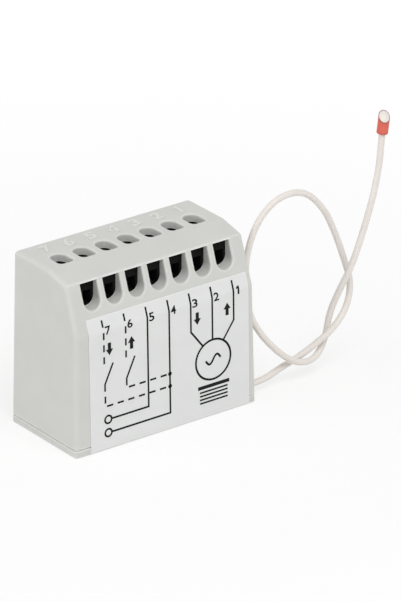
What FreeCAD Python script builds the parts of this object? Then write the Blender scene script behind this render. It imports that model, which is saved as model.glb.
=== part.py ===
"""Roller shade controller: a flush-box radio receiver with seven screw terminals.

Frame: X to the right along the terminal row, Y from the labelled front to the
back, Z up. The origin is the middle of the case's bottom face. Millimetres.
"""
import FreeCAD
import Part
import Sketcher
import math
import os
import re

Vector = FreeCAD.Vector
DOC = FreeCAD.newDocument("ShadeController")
SIZES = DOC.addObject("Spreadsheet::Sheet", "Sizes")

# Driving dimensions: name, value, meaning. Heights are above the bottom face,
# and a name ending in _y or _x is a place along that axis.
DRIVING = [
    ("case_height", 34.4, "bottom to roof"),
    ("wall_thickness", 1.5, "walls of the housing shell"),
    ("roof_thickness", 1.55, "flat roof of the housing shell"),
    ("brow_wall", 0.7, "sloped wall above the wire slots"),
    ("base_thickness", 1.56, "base cover, up to the seam"),
    ("seam_gap", 0.1, "base cover below the housing shell"),
    ("side_lean", 0.66, "how far each side leans in at the roof"),
    ("back_lean", 0.5, "how far the back leans in at the roof"),
    ("front_lean", 0.42, "how far the label face leans back at the low fold"),
    ("brow_drop", 1.31, "high fold below the roof"),
    ("brow_depth", 5.43, "high fold to the front of the flat roof"),
    ("nose_height", 9.29, "low fold to high fold, the face with the wire slots"),
    ("nose_depth", 3.22, "how far that face leans back"),
    ("nose_wall", 0.95, "thickness of that face at the high fold"),
    ("nose_rise", 0.8, "underside of the thick wall above the low fold"),
    ("low_fold_radius", 2.0, "bend of the low fold"),
    ("high_fold_radius", 0.32, "bend of the high fold"),
    ("roof_fold_radius", 2.0, "bend at the front of the roof"),
    ("back_edge_radius", 0.7, "bend at the back of the roof"),
    ("corner_radius", 0.8, "rounding of the side edges"),
    ("foot_radius", 0.25, "rounding round the bottom face"),
    ("seam_bevel", 0.12, "bevel of both edges along the seam"),
    ("pole_pitch", 5.0, "terminal spacing"),
    ("slot_width", 3.6, "wire slot"),
    ("slot_height", 5.1, "wire slot, round bottom to flat top"),
    ("slot_lip", 0.3, "top of the wire slots below the high fold"),
    ("slot_rim_radius", 0.36, "rounding of the slots' sides and bottom"),
    ("hole_width", 3.2, "screw hole in the roof"),
    ("hole_length", 4.3, "screw hole, front to back"),
    ("hole_setback", 0.87, "screw hole behind the front of the flat roof"),
    ("hole_corner_radius", 0.8, "front corners of the screw holes"),
    ("hole_rim_radius", 0.3, "rounding of the screw hole rims"),
    ("board_thickness", 1.6, "main board"),
    ("board_room", 2.14, "space behind the main board"),
    ("board_side_gap", 0.17, "main board to the side walls"),
    ("board_lift", 0.64, "main board above the base cover"),
    ("board_top_gap", 0.2, "main board below the roof wall"),
    ("rail_reach", 0.5, "how far a board rail stands in from the side wall"),
    ("rail_width", 0.8, "board rail, front to back"),
    ("rail_play", 0.1, "play of the board in its rails"),
    ("fit_play", 0.05, "gap between pieces that fit together"),
    ("block_end", 2.7, "terminal block beyond the last pole"),
    ("block_side_gap", 0.77, "terminal block to the side walls"),
    ("block_height", 7.2, "terminal block"),
    ("roof_gap", 0.2, "terminal block below the roof wall"),
    ("entry_width", 3.0, "wire entry in the block"),
    ("entry_depth", 2.9, "wire entry in the block, up to the cage"),
    ("entry_step", 0.1, "wire entry above the cage floor"),
    ("entry_bevel", 0.3, "bevel round the wire entry"),
    ("head_room", 1.5, "block above the cages"),
    ("cage_width", 4.0, "clamp cage"),
    ("cage_height", 4.3, "clamp cage"),
    ("cage_setback", 0.8, "block behind the cages"),
    ("cage_wall", 0.6, "sides and floor of the cage"),
    ("cage_roof", 0.7, "tapped roof of the cage"),
    ("leg_width", 1.0, "solder leg of the cage"),
    ("lead_reach", 1.0, "length of legs and leads behind the board"),
    ("screw_setback", 2.05, "screw axis behind the front of its roof hole"),
    ("shank_radius", 1.2, "terminal screw"),
    ("head_radius", 1.4, "terminal screw"),
    ("head_height", 1.05, "terminal screw"),
    ("head_play", 0.1, "radial clearance of the head in the block"),
    ("head_gap", 0.06, "head above the cage with the clamp shut"),
    ("head_bevel", 0.17, "softened edge of the head"),
    ("drive_width", 0.5, "screwdriver slot"),
    ("drive_depth", 0.6, "screwdriver slot"),
    ("clamp_travel", 2.1, "rise of the clamp plate from shut to open"),
    ("plate_thickness", 0.4, "clamp plate"),
    ("plate_width", 2.6, "clamp plate"),
    ("plate_length", 4.8, "clamp plate, along the wire"),
    ("plate_gap", 0.1, "open clamp plate below the cage roof"),
    ("plate_setback", 0.3, "clamp plate in front of the cage's back edge"),
    ("tip_gap", 0.02, "screw tip above the clamp plate"),
    ("lead_radius", 0.35, "component leads"),
    ("lead_play", 0.08, "radial clearance of leads in the board"),
    ("relay_width", 10.1, "relay, across"),
    ("relay_length", 17.6, "relay, bottom to top"),
    ("relay_height", 12.2, "relay, out from the board"),
    ("relay_lift", 1.84, "relays above the base cover"),
    ("relay_side_gap", 0.67, "raising relay to the side wall"),
    ("relay_gap", 0.3, "between the relays"),
    ("relay_front_gap", 1.44, "relays to the front wall"),
    ("relay_wall", 0.6, "relay case"),
    ("relay_base", 1.0, "relay base plate"),
    ("seat_gap", 0.1, "large components above the board"),
    ("coil_gap", 0.2, "coil flange above the yoke's upright"),
    ("coil_low", 2.5, "coil, out from the relay base's face"),
    ("coil_side_gap", 0.55, "coil flange to the relay case"),
    ("coil_rim", 0.3, "coil flange beyond the winding"),
    ("flange_thickness", 0.6, "coil bobbin flange"),
    ("core_radius", 1.5, "iron core"),
    ("pole_thickness", 0.9, "pole face"),
    ("pole_rim", 0.75, "pole face beyond the core"),
    ("iron_thickness", 1.0, "foot of the yoke"),
    ("upright_thickness", 0.9, "upright of the yoke"),
    ("foot_width", 4.8, "foot of the yoke"),
    ("iron_margin", 0.7, "yoke narrower than the coil flange, each side"),
    ("armature_thickness", 0.6, "armature"),
    ("armature_room", 2.2, "pole face below the top of the relay"),
    ("magnet_gap", 0.45, "armature above the pole face"),
    ("armature_reach", 8.2, "armature, from its hinge end"),
    ("spring_thickness", 0.2, "contact spring"),
    ("spring_width", 3.0, "contact spring"),
    ("contact_radius", 1.0, "contact buttons"),
    ("post_width", 0.7, "post of the fixed contact"),
    ("contact_height", 0.4, "fixed contact button and its strip"),
    ("contact_setback", 4.2, "contact axis below the relay's upper end"),
    ("contact_gap", 0.75, "open relay contacts"),
    ("part_gap", 0.6, "between neighbouring components"),
    ("film_width", 13.0, "mains filter capacitor"),
    ("film_height", 6.0, "mains filter capacitor, bottom to top"),
    ("film_depth", 11.6, "mains filter capacitor, out from the board"),
    ("film_gap", 1.7, "mains filter capacitor to the relay"),
    ("film_clear", 0.7, "mains filter capacitor above the varistor"),
    ("film_side_gap", 1.07, "mains filter capacitor to the side wall"),
    ("film_pitch", 10.0, "between its leads"),
    ("can_radius", 2.5, "smoothing capacitor"),
    ("can_length", 11.0, "smoothing capacitor"),
    ("can_pitch", 2.0, "between its leads"),
    ("can_lift", 1.3, "smoothing capacitor above the base cover"),
    ("disc_radius", 3.3, "surge varistor"),
    ("disc_thickness", 3.2, "surge varistor"),
    ("disc_pitch", 3.6, "between its leads"),
    ("resistor_radius", 1.2, "fusible resistor"),
    ("resistor_length", 4.6, "fusible resistor"),
    ("resistor_bend", 0.9, "resistor lead before it bends to the board"),
    ("choke_size", 5.0, "supply choke, square"),
    ("choke_height", 4.0, "supply choke"),
    ("choke_pad", 1.0, "solder pad of the choke"),
    ("bridge_width", 4.7, "bridge rectifier"),
    ("chip_depth", 3.9, "chips between their rows of legs"),
    ("chip_height", 1.3, "chips behind the board"),
    ("chip_leg", 0.9, "legs beyond a chip's side"),
    ("chip_pin", 0.15, "thickness of chip legs"),
    ("bridge_height", 2.3, "bridge rectifier"),
    ("chip_width", 8.6, "microcontroller"),
    ("controller_setback", 3.3, "microcontroller's middle, in from the relays' right side"),
    ("controller_rise", 11.5, "height of the microcontroller's middle"),
    ("regulator_width", 4.9, "supply regulator"),
    ("regulator_setback", 0.4, "supply regulator's middle, left of the bridge rectifier's"),
    ("regulator_rise", 13.5, "height of the supply regulator's middle"),
    ("driver_width", 2.9, "relay driver"),
    ("driver_depth", 1.6, "relay driver between its rows of legs"),
    ("radio_space", 5.6, "radio board in front of the main board"),
    ("radio_thickness", 0.8, "radio board"),
    ("radio_width", 7.6, "radio board"),
    ("radio_height", 12.4, "radio board"),
    ("radio_lift", 1.24, "radio board above the base cover"),
    ("radio_side_gap", 0.97, "radio board to the side wall"),
    ("transceiver_width", 3.9, "radio chip"),
    ("transceiver_depth", 2.9, "radio chip between its rows of legs"),
    ("transceiver_height", 0.9, "radio chip"),
    ("transceiver_drop", 3.9, "radio chip's middle below the top of its board"),
    ("crystal_low", 3.6, "crystal above the lower edge of the radio board"),
    ("crystal_height", 1.8, "crystal, bottom to top"),
    ("crystal_width", 3.9, "crystal"),
    ("crystal_thickness", 0.9, "crystal"),
    ("header_pitch", 2.0, "between the pins of the radio header"),
    ("header_bar", 2.5, "radio header's bar, out from the main board"),
    ("header_inset", 1.3, "radio header from the edge of its board"),
    ("button_x", -11.0, "pairing button"),
    ("button_rise", 9.0, "height of the pairing button"),
    ("button_radius", 1.5, "pairing button"),
    ("button_play", 0.08, "radial clearance of the pairing button"),
    ("button_travel", 0.25, "press of the pairing button"),
    ("button_sunk", 0.15, "button top below the back face"),
    ("collar_radius", 2.2, "collar that keeps the button in"),
    ("collar_thickness", 0.35, "collar that keeps the button in"),
    ("plunger_radius", 1.0, "button's foot in the switch"),
    ("switch_size", 4.2, "switch under the button, square"),
    ("switch_height", 0.9, "switch under the button"),
    ("lamp_rise", 6.0, "status lamp above the pairing button"),
    ("lamp_size", 1.6, "status lamp"),
    ("lamp_height", 0.8, "status lamp"),
    ("pipe_radius", 0.9, "light pipe"),
    ("wire_radius", 0.625, "aerial wire over its insulation"),
    ("wire_play", 0.08, "aerial wire in its notch"),
    ("sleeve_length", 3.4, "tip sleeve, foot to the middle of its mouth"),
    ("sleeve_radius", 1.1, "tip sleeve"),
    ("sleeve_bend", 0.35, "rounding of the tip sleeve's foot"),
    ("label_left_margin", 3.33, "label to the left side of the case"),
    ("label_right_margin", 1.73, "label to the right side of the case"),
    ("label_foot_gap", 0.3, "label above the bottom face"),
    ("label_over_fold", 2.65, "label above the low fold"),
    ("label_thickness", 0.12, "label"),
    ("snap_width", 5.0, "snap tongue of the base cover"),
    ("snap_height", 3.4, "snap tongue, above the base plate"),
    ("snap_thickness", 0.9, "snap tongue"),
    ("snap_bead", 0.3, "bead on the snap tongue"),
]
POLE_COUNT = 7
HEADER_PINS = 4
# Places closer than this count as one when edges are picked
TOLERANCE = 0.01

for row, (alias, size, meaning) in enumerate(DRIVING, start=1):
    SIZES.set("A%d" % row, meaning)
    SIZES.set("B%d" % row, str(size))
    SIZES.setAlias("B%d" % row, alias)
DOC.recompute()


def bound(text):
    """An expression on the sheet: every two-word name in text is a cell."""
    return re.sub(r"\b[a-z]+(_[a-z]+)+\b", r"Sizes.\g<0>", text)


def value(text):
    """The number that an expression gives."""
    return float(SIZES.evalExpression(bound(str(text))))


def bind(thing, settings):
    """Bind each property of thing to its expression."""
    for name, text in settings.items():
        thing.setExpression(name, bound(str(text)))
    return thing


# Sketches and features of a moulded or machined piece

def origin_plane(body, role):
    return [item for item in body.Origin.OriginFeatures if item.Role == role][0]


def new_body(name):
    body = DOC.addObject("PartDesign::Body", name)
    body.Label = name
    return body


def new_sketch(body, role, offset="0"):
    """A sketch on one of the body's planes, moved offset along its normal."""
    sketch = body.newObject("Sketcher::SketchObject", body.Name + "_sketch")
    sketch.AttachmentSupport = [(origin_plane(body, role), "")]
    sketch.MapMode = "FlatFace"
    return bind(sketch, {"AttachmentOffset.Base.z": offset})


def pin_point(sketch, shape, end, across, up):
    """Tie a point of a sketch to its two expressions."""
    for kind, text in (("DistanceX", across), ("DistanceY", up)):
        if text is None:
            continue
        index = sketch.addConstraint(Sketcher.Constraint(kind, shape, end, value(text)))
        sketch.setExpression("Constraints[%d]" % index, bound(text))


def polygon(sketch, corners):
    """A closed outline of straight lines through corners, given as expressions."""
    places = [Vector(value(across), value(up), 0) for across, up in corners]
    first = sketch.GeometryCount
    for index, place in enumerate(places):
        following = places[(index + 1) % len(places)]
        sketch.addGeometry(Part.LineSegment(place, following))
    for index, (across, up) in enumerate(corners):
        following = first + (index + 1) % len(places)
        sketch.addConstraint(Sketcher.Constraint("Coincident", first + index, 2, following, 1))
        pin_point(sketch, first + index, 1, across, up)
    return sketch


def rectangle(sketch, left, right, low, high):
    return polygon(sketch, [(left, low), (right, low), (right, high), (left, high)])


def circle(sketch, across, up, radius):
    centre = Vector(value(across), value(up), 0)
    shape = sketch.addGeometry(Part.Circle(centre, Vector(0, 0, 1), value(radius)))
    pin_point(sketch, shape, 3, across, up)
    index = sketch.addConstraint(Sketcher.Constraint("Radius", shape, value(radius)))
    sketch.setExpression("Constraints[%d]" % index, bound(radius))
    return sketch


def arch(sketch, middle, half_width, flat, centre):
    """A flat edge at the height flat and a half circle about the height centre."""
    left = "%s - (%s)" % (middle, half_width)
    right = "%s + (%s)" % (middle, half_width)
    low_left = Vector(value(left), value(flat), 0)
    low_right = Vector(value(right), value(flat), 0)
    high_right = Vector(value(right), value(centre), 0)
    high_left = Vector(value(left), value(centre), 0)
    hub = Vector(value(middle), value(centre), 0)
    base = sketch.addGeometry(Part.LineSegment(low_left, low_right))
    side = sketch.addGeometry(Part.LineSegment(low_right, high_right))
    other = sketch.addGeometry(Part.LineSegment(high_left, low_left))
    ring = Part.Circle(hub, Vector(0, 0, 1), value(half_width))
    upward = high_right.y > low_right.y
    turns = (0, math.pi) if upward else (math.pi, 2 * math.pi)
    start, end = (high_right, high_left) if upward else (high_left, high_right)
    bow = sketch.addGeometry(Part.ArcOfCircle(ring, turns[0], turns[1]))
    at_right, at_left = (1, 2) if upward else (2, 1)
    sketch.addConstraint(Sketcher.Constraint("Coincident", base, 2, side, 1))
    sketch.addConstraint(Sketcher.Constraint("Coincident", side, 2, bow, at_right))
    sketch.addConstraint(Sketcher.Constraint("Coincident", bow, at_left, other, 1))
    sketch.addConstraint(Sketcher.Constraint("Coincident", other, 2, base, 1))
    pin_point(sketch, base, 1, left, flat)
    pin_point(sketch, base, 2, right, flat)
    pin_point(sketch, side, 2, right, centre)
    pin_point(sketch, bow, 3, middle, None)
    pin_point(sketch, other, 1, None, centre)
    return sketch


def pad(body, sketch, length, midplane=False, reverse=False):
    feature = body.newObject("PartDesign::Pad", body.Name + "_pad")
    feature.Profile = sketch
    feature.Midplane = midplane
    feature.Reversed = reverse
    bind(feature, {"Length": length})
    DOC.recompute()
    return feature


def pocket(body, sketch, length=None, midplane=False, reverse=False):
    """Cut a sketch out of the body, through all of it when no length is given."""
    before = body.Shape.Volume
    feature = body.newObject("PartDesign::Pocket", body.Name + "_pocket")
    feature.Profile = sketch
    feature.Midplane = midplane
    feature.Reversed = reverse
    if length is None:
        feature.Type = "ThroughAll"
    else:
        bind(feature, {"Length": length})
    DOC.recompute()
    if body.Shape.Volume >= before - 1e-6:
        raise RuntimeError("%s in %s cuts nothing" % (feature.Name, body.Name))
    return feature


def chosen_edges(shape, wanted):
    return ["Edge%d" % (index + 1) for index, edge in enumerate(shape.Edges) if wanted(edge)]


def dress(body, kind, size_name, size, wanted):
    """Round or bevel the edges of the body's last feature that wanted accepts."""
    base = body.Tip
    names = chosen_edges(base.Shape, wanted)
    if not names:
        raise RuntimeError("no edge to dress in %s" % body.Name)
    feature = body.newObject("PartDesign::" + kind, body.Name + "_" + kind.lower())
    feature.Base = (base, names)
    bind(feature, {size_name: size})
    DOC.recompute()
    if "Invalid" in feature.State:
        raise RuntimeError("%s in %s fails" % (feature.Name, body.Name))
    return feature


def fillet(body, radius, wanted):
    return dress(body, "Fillet", "Radius", radius, wanted)


def chamfer(body, size, wanted):
    return dress(body, "Chamfer", "Size", size, wanted)


def row_of_poles(body, originals):
    """Repeat features along X, from the leftmost pole to the rightmost."""
    before = body.Shape.Volume
    pattern = body.newObject("PartDesign::LinearPattern", body.Name + "_row")
    pattern.Originals = originals
    along = [item for item in body.Origin.OriginFeatures if item.Role == "X_Axis"][0]
    pattern.Direction = (along, [""])
    pattern.Occurrences = POLE_COUNT
    bind(pattern, {"Length": ROW})
    body.Tip = pattern
    DOC.recompute()
    if abs(body.Shape.Volume - before) < 1e-6:
        raise RuntimeError("the pattern in %s changes nothing" % body.Name)
    return pattern


def vertices_between(edge, axis, low, high):
    return all(low - TOLERANCE <= getattr(point.Point, axis) <= high + TOLERANCE
               for point in edge.Vertexes)


def spans(edge, axis):
    """Whether the edge's ends differ along an axis."""
    start, end = edge.Vertexes[0].Point, edge.Vertexes[-1].Point
    return abs(getattr(start, axis) - getattr(end, axis)) > TOLERANCE


# Plain pieces

def block(name, x, y, z):
    """A box between pairs of expressions."""
    box = DOC.addObject("Part::Box", name)
    bind(box, {"Length": "(%s) - (%s)" % (x[1], x[0]), "Width": "(%s) - (%s)" % (y[1], y[0]),
               "Height": "(%s) - (%s)" % (z[1], z[0]), "Placement.Base.x": x[0],
               "Placement.Base.y": y[0], "Placement.Base.z": z[0]})
    return box


TURNS = {"x": FreeCAD.Rotation(Vector(0, 1, 0), 90), "y": FreeCAD.Rotation(Vector(1, 0, 0), -90),
         "z": FreeCAD.Rotation()}


def rod(name, axis, base, length, radius):
    """A cylinder from base, along an axis, all given as expressions."""
    cylinder = DOC.addObject("Part::Cylinder", name)
    cylinder.Placement = FreeCAD.Placement(Vector(), TURNS[axis])
    bind(cylinder, {"Radius": radius, "Height": length, "Placement.Base.x": base[0],
                    "Placement.Base.y": base[1], "Placement.Base.z": base[2]})
    return cylinder


def union(name, pieces):
    if len(pieces) == 1:
        return pieces[0]
    whole = DOC.addObject("Part::MultiFuse", name)
    whole.Shapes = pieces
    return whole


def cut(name, base, tools):
    difference = DOC.addObject("Part::Cut", name)
    difference.Base = base
    difference.Tool = union(name + "_tool", tools)
    return difference


def group(name, pieces):
    """Separate solids under one name."""
    together = DOC.addObject("Part::Compound", name)
    together.Links = pieces
    return together


def round_edges(name, base, radius, wanted):
    """Round chosen edges of a plain piece."""
    DOC.recompute()
    rounded = DOC.addObject("Part::Fillet", name)
    rounded.Base = base
    size = value(radius)
    rounded.Edges = [(index + 1, size, size) for index, edge in enumerate(base.Shape.Edges)
                     if wanted(edge)]
    return rounded


NODES = {}


def node(name, piece):
    """Give a finished piece its name."""
    piece.Label = name
    NODES[name] = piece
    return piece


# Places worked out from the sizes. A name ending in _Y is a place from front to back,
# CASE_HALF and CAVITY_HALF are half widths, and the rest are heights.

ROW = "(pole_pitch * %d)" % (POLE_COUNT - 1)
CAVITY_HALF = ("(max(%s + 2 * block_end + 2 * block_side_gap; relay_side_gap + 2 * relay_width"
               " + relay_gap + film_gap + film_width + film_side_gap) / 2)" % ROW)
CASE_HALF = "(%s + wall_thickness + side_lean)" % CAVITY_HALF
BACK_Y = ("((2 * wall_thickness + board_room + board_thickness + seat_gap + relay_height"
          " + relay_front_gap) / 2)")
FRONT_Y = "(-1 * %s)" % BACK_Y
HIGH_FOLD = "(case_height - brow_drop)"
LOW_FOLD = "(%s - nose_height)" % HIGH_FOLD
LOW_FOLD_Y = "(%s + front_lean)" % FRONT_Y
HIGH_FOLD_Y = "(%s + nose_depth)" % LOW_FOLD_Y
ROOF_FOLD_Y = "(%s + brow_depth)" % HIGH_FOLD_Y
BROW_SLOPE = "(brow_drop / brow_depth)"
INNER_ROOF = "(case_height - roof_thickness)"
SLOT_ROOF = "(%s - slot_lip)" % HIGH_FOLD
SLOT_FLOOR = "(%s - slot_height)" % SLOT_ROOF
NOSE_BACK_Y = "(%s + nose_wall)" % HIGH_FOLD_Y
NOSE_BOTTOM = "(%s + nose_rise)" % LOW_FOLD
BROW_INSIDE = ("(min(%s + nose_wall * %s - brow_wall * sqrt(1 + pow(%s; 2)); %s - fit_play))"
               % (HIGH_FOLD, BROW_SLOPE, BROW_SLOPE, INNER_ROOF))
BROW_END_Y = "(%s + (%s - %s) / %s)" % (NOSE_BACK_Y, INNER_ROOF, BROW_INSIDE, BROW_SLOPE)
HOLE_FRONT_Y = "(%s + hole_setback)" % ROOF_FOLD_Y
SCREW_Y = "(%s + screw_setback)" % HOLE_FRONT_Y
BOARD_BACK_Y = "(%s - wall_thickness - board_room)" % BACK_Y
BOARD_FRONT_Y = "(%s - board_thickness)" % BOARD_BACK_Y
BOARD_HALF = "(%s - board_side_gap)" % CAVITY_HALF
BLOCK_TOP = "(%s - roof_gap)" % INNER_ROOF
BLOCK_BOTTOM = "(%s - block_height)" % BLOCK_TOP
BLOCK_FRONT_Y = "(%s + fit_play)" % NOSE_BACK_Y
BROW_BACK_Y = "(%s + fit_play)" % BROW_END_Y
BLOCK_BROW = "(%s - roof_gap)" % BROW_INSIDE
CAGE_TOP = "(%s - head_room)" % BLOCK_TOP
CAGE_BOTTOM = "(%s - cage_height)" % CAGE_TOP
CAGE_FLOOR = "(%s + cage_wall)" % CAGE_BOTTOM
CAGE_FRONT_Y = "(%s + entry_depth)" % BLOCK_FRONT_Y
CAGE_BACK_Y = "(%s - cage_setback)" % BOARD_FRONT_Y
PLATE_TOP = "(%s - cage_roof - plate_gap - clamp_travel)" % CAGE_TOP
SNAP_PLACES = (-11.0, 6.0)
BEAD_FOOT = "base_thickness + snap_height - 3 * snap_bead"


def front_face_y(height):
    """The label face at a height below the low fold."""
    return "(%s + front_lean * (%s) / %s)" % (FRONT_Y, height, LOW_FOLD)


def nose_face_y(height):
    """The face with the wire slots at a height between the folds."""
    return "(%s + nose_depth * ((%s) - %s) / nose_height)" % (LOW_FOLD_Y, height, LOW_FOLD)


def back_face_y(height):
    return "(%s - back_lean * (%s) / case_height)" % (BACK_Y, height)


def pole_x(index):
    return "(pole_pitch * %g)" % (index - (POLE_COUNT - 1) / 2)


# The case: a leaning box with its front folded back in two steps

def is_fold(edge, height):
    """A straight edge along X at one height."""
    return vertices_between(edge, "z", height, height) and spans(edge, "x")


def envelope(body):
    """The whole outside of the case."""
    front_view = new_sketch(body, "XZ_Plane")
    polygon(front_view, [("-1 * " + CASE_HALF, "0"), (CASE_HALF, "0"),
                         (CASE_HALF + " - side_lean", "case_height"),
                         ("-1 * %s + side_lean" % CASE_HALF, "case_height")])
    pad(body, front_view, "2 * " + BACK_Y, midplane=True)

    far = FRONT_Y + " - case_height"
    ahead = new_sketch(body, "YZ_Plane")
    polygon(ahead, [(far, "0"), (FRONT_Y, "0"), (LOW_FOLD_Y, LOW_FOLD), (HIGH_FOLD_Y, HIGH_FOLD),
                    (ROOF_FOLD_Y, "case_height"), (far, "case_height")])
    pocket(body, ahead, midplane=True)

    behind = new_sketch(body, "YZ_Plane")
    polygon(behind, [(BACK_Y, "0"), (BACK_Y + " + case_height", "0"),
                     (BACK_Y + " + case_height", "case_height"),
                     (BACK_Y + " - back_lean", "case_height")])
    pocket(body, behind, midplane=True)

    middle = value(SCREW_Y)
    for radius, place, at_back in (("low_fold_radius", LOW_FOLD, False),
                                   ("high_fold_radius", HIGH_FOLD, False),
                                   ("roof_fold_radius", "case_height", False),
                                   ("back_edge_radius", "case_height", True)):
        level = value(place)
        fillet(body, radius, lambda edge: is_fold(edge, level)
               and (edge.Vertexes[0].Y > middle) == at_back)

    side = value(CASE_HALF + " - side_lean") - TOLERANCE
    fillet(body, "corner_radius",
           lambda edge: all(abs(point.X) > side for point in edge.Vertexes)
           and edge.Vertexes[0].X * edge.Vertexes[-1].X > 0
           and not vertices_between(edge, "z", 0, 0))


def beyond_seam(body, level, keep_above):
    """Cut off everything on one side of a level, and bevel the edge that is left."""
    waste = new_sketch(body, "XY_Plane", level)
    rectangle(waste, "-2 * " + CASE_HALF, "2 * " + CASE_HALF, "2 * " + FRONT_Y, "2 * " + BACK_Y)
    pocket(body, waste, reverse=not keep_above)
    height = value(level)
    chamfer(body, "seam_bevel", lambda edge: vertices_between(edge, "z", height, height))


def housing_shell():
    shell = new_body("housing_shell")
    envelope(shell)
    beyond_seam(shell, "base_thickness", keep_above=True)

    # The hollow: upright behind the label, and set back behind the wire slots
    hollow = new_sketch(shell, "YZ_Plane")
    polygon(hollow, [(FRONT_Y + " + wall_thickness", "0"),
                     (front_face_y(LOW_FOLD) + " + wall_thickness", LOW_FOLD),
                     (NOSE_BACK_Y, NOSE_BOTTOM),
                     (NOSE_BACK_Y, BROW_INSIDE), (BROW_END_Y, INNER_ROOF),
                     (BACK_Y + " - back_lean - wall_thickness", INNER_ROOF),
                     (BACK_Y + " - wall_thickness", "0")])
    pocket(shell, hollow, "2 * " + CAVITY_HALF, midplane=True)

    # Wire slots through the thick wall, round at the bottom
    slot_sketch = new_sketch(shell, "XZ_Plane", "-1 * (%s + fit_play)" % NOSE_BACK_Y)
    arch(slot_sketch, pole_x(0), "slot_width / 2", SLOT_ROOF, SLOT_FLOOR + " + slot_width / 2")
    slot = pocket(shell, slot_sketch, reverse=True)
    row_of_poles(shell, [slot])

    # Screw holes through the roof, round at the back
    hole_sketch = new_sketch(shell, "XY_Plane", "case_height")
    arch(hole_sketch, pole_x(0), "hole_width / 2", HOLE_FRONT_Y,
         HOLE_FRONT_Y + " + hole_length - hole_width / 2")
    hole = pocket(shell, hole_sketch, "2 * roof_thickness")
    row_of_poles(shell, [hole])

    # Soft rims on the slots and the screw holes
    fillet(shell, "hole_corner_radius", is_hole_corner)
    fillet(shell, "hole_rim_radius", is_hole_rim)
    fillet(shell, "slot_rim_radius", is_slot_rim)

    # The notch that lets the aerial wire out over the base cover
    notch = new_sketch(shell, "YZ_Plane", CAVITY_HALF + " - wall_thickness")
    arch(notch, "%g" % ROUTE[0][1], "(wire_radius + wire_play)", "0", "%g" % ROUTE[0][2])
    pocket(shell, notch, reverse=True)

    # Back wall: the pairing button's hole and the light pipe's hole
    back = new_sketch(shell, "XZ_Plane", "-1 * " + BOARD_BACK_Y)
    circle(back, "button_x", "button_rise", "button_radius + button_play")
    circle(back, "button_x", "button_rise + lamp_rise", "pipe_radius + fit_play")
    pocket(shell, back)

    # Rails that hold the side edges of the main board
    rail_foot = "base_thickness + snap_height + wall_thickness"
    inner = "(%s - rail_reach)" % CAVITY_HALF
    outer = "(%s + wall_thickness / 2)" % CAVITY_HALF
    for left, right in ((inner, outer), ("-1 * " + outer, "-1 * " + inner)):
        for front in (BOARD_FRONT_Y + " - rail_play - rail_width", BOARD_BACK_Y + " + rail_play"):
            rail = new_sketch(shell, "XY_Plane", rail_foot)
            rectangle(rail, left, right, front, front + " + rail_width")
            pad(shell, rail, "%s - wall_thickness - (%s)" % (BLOCK_BOTTOM, rail_foot))

    # Hollows in the front and back walls for the beads of the snap tongues
    for place in SNAP_PLACES:
        left = "%g - snap_width / 2 - fit_play" % place
        right = "%g + snap_width / 2 + fit_play" % place
        front_inside = FRONT_Y + " + wall_thickness"
        back_inside = BACK_Y + " - wall_thickness"
        beads = new_sketch(shell, "XY_Plane", BEAD_FOOT)
        rectangle(beads, left, right, front_inside + " - snap_bead - fit_play",
                  front_inside + " + snap_bead")
        rectangle(beads, left, right, back_inside + " - snap_bead",
                  back_inside + " + snap_bead + fit_play")
        pocket(shell, beads, "3 * snap_bead", reverse=True)
    node("housing_shell", shell)


def is_slot_rim(edge):
    """An edge of a wire slot on the leaning front face, but not its flat top."""
    low, high = value(SLOT_FLOOR), value(SLOT_ROOF)
    if not vertices_between(edge, "z", low, high) or vertices_between(edge, "z", high, high):
        return False
    outside = value(ROW + " / 2 + slot_width / 2") + TOLERANCE
    return all(abs(point.Y - value(nose_face_y("%r" % point.Z))) < TOLERANCE
               and abs(point.X) < outside for point in edge.Vertexes)


def is_hole_corner(edge):
    """An upright front corner of a screw hole."""
    front = value(HOLE_FRONT_Y)
    return vertices_between(edge, "y", front, front) and spans(edge, "z")


def is_hole_rim(edge):
    """An edge of a screw hole on the roof."""
    roof = value("case_height")
    front = value(HOLE_FRONT_Y)
    outside = value(ROW + " / 2 + hole_width / 2")
    return (vertices_between(edge, "z", roof, roof)
            and vertices_between(edge, "y", front, front + value("hole_length"))
            and vertices_between(edge, "x", -outside, outside))


def base_cover():
    """The plate that closes the case, with snap tongues inside the long walls."""
    cover = new_body("base_cover")
    envelope(cover)
    floor = "base_thickness - seam_gap"
    beyond_seam(cover, floor, keep_above=False)
    fillet(cover, "foot_radius", lambda edge: vertices_between(edge, "z", 0, 0))
    top = "base_thickness + snap_height"
    front_wall = "(%s + wall_thickness + fit_play)" % front_face_y(top)
    back_wall = "(%s - wall_thickness - fit_play)" % back_face_y(top)
    for place in SNAP_PLACES:
        left = "%g - snap_width / 2" % place
        right = "%g + snap_width / 2" % place
        tongues = new_sketch(cover, "XY_Plane", floor)
        rectangle(tongues, left, right, front_wall, front_wall + " + snap_thickness")
        rectangle(tongues, left, right, back_wall + " - snap_thickness", back_wall)
        pad(cover, tongues, "snap_height + seam_gap")
        beads = new_sketch(cover, "XY_Plane", BEAD_FOOT + " + fit_play")
        rectangle(beads, left, right, front_wall + " - snap_bead", front_wall + " + snap_bead")
        rectangle(beads, left, right, back_wall + " - snap_bead", back_wall + " + snap_bead")
        pad(cover, beads, "2 * snap_bead")
    node("base_cover", cover)


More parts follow.
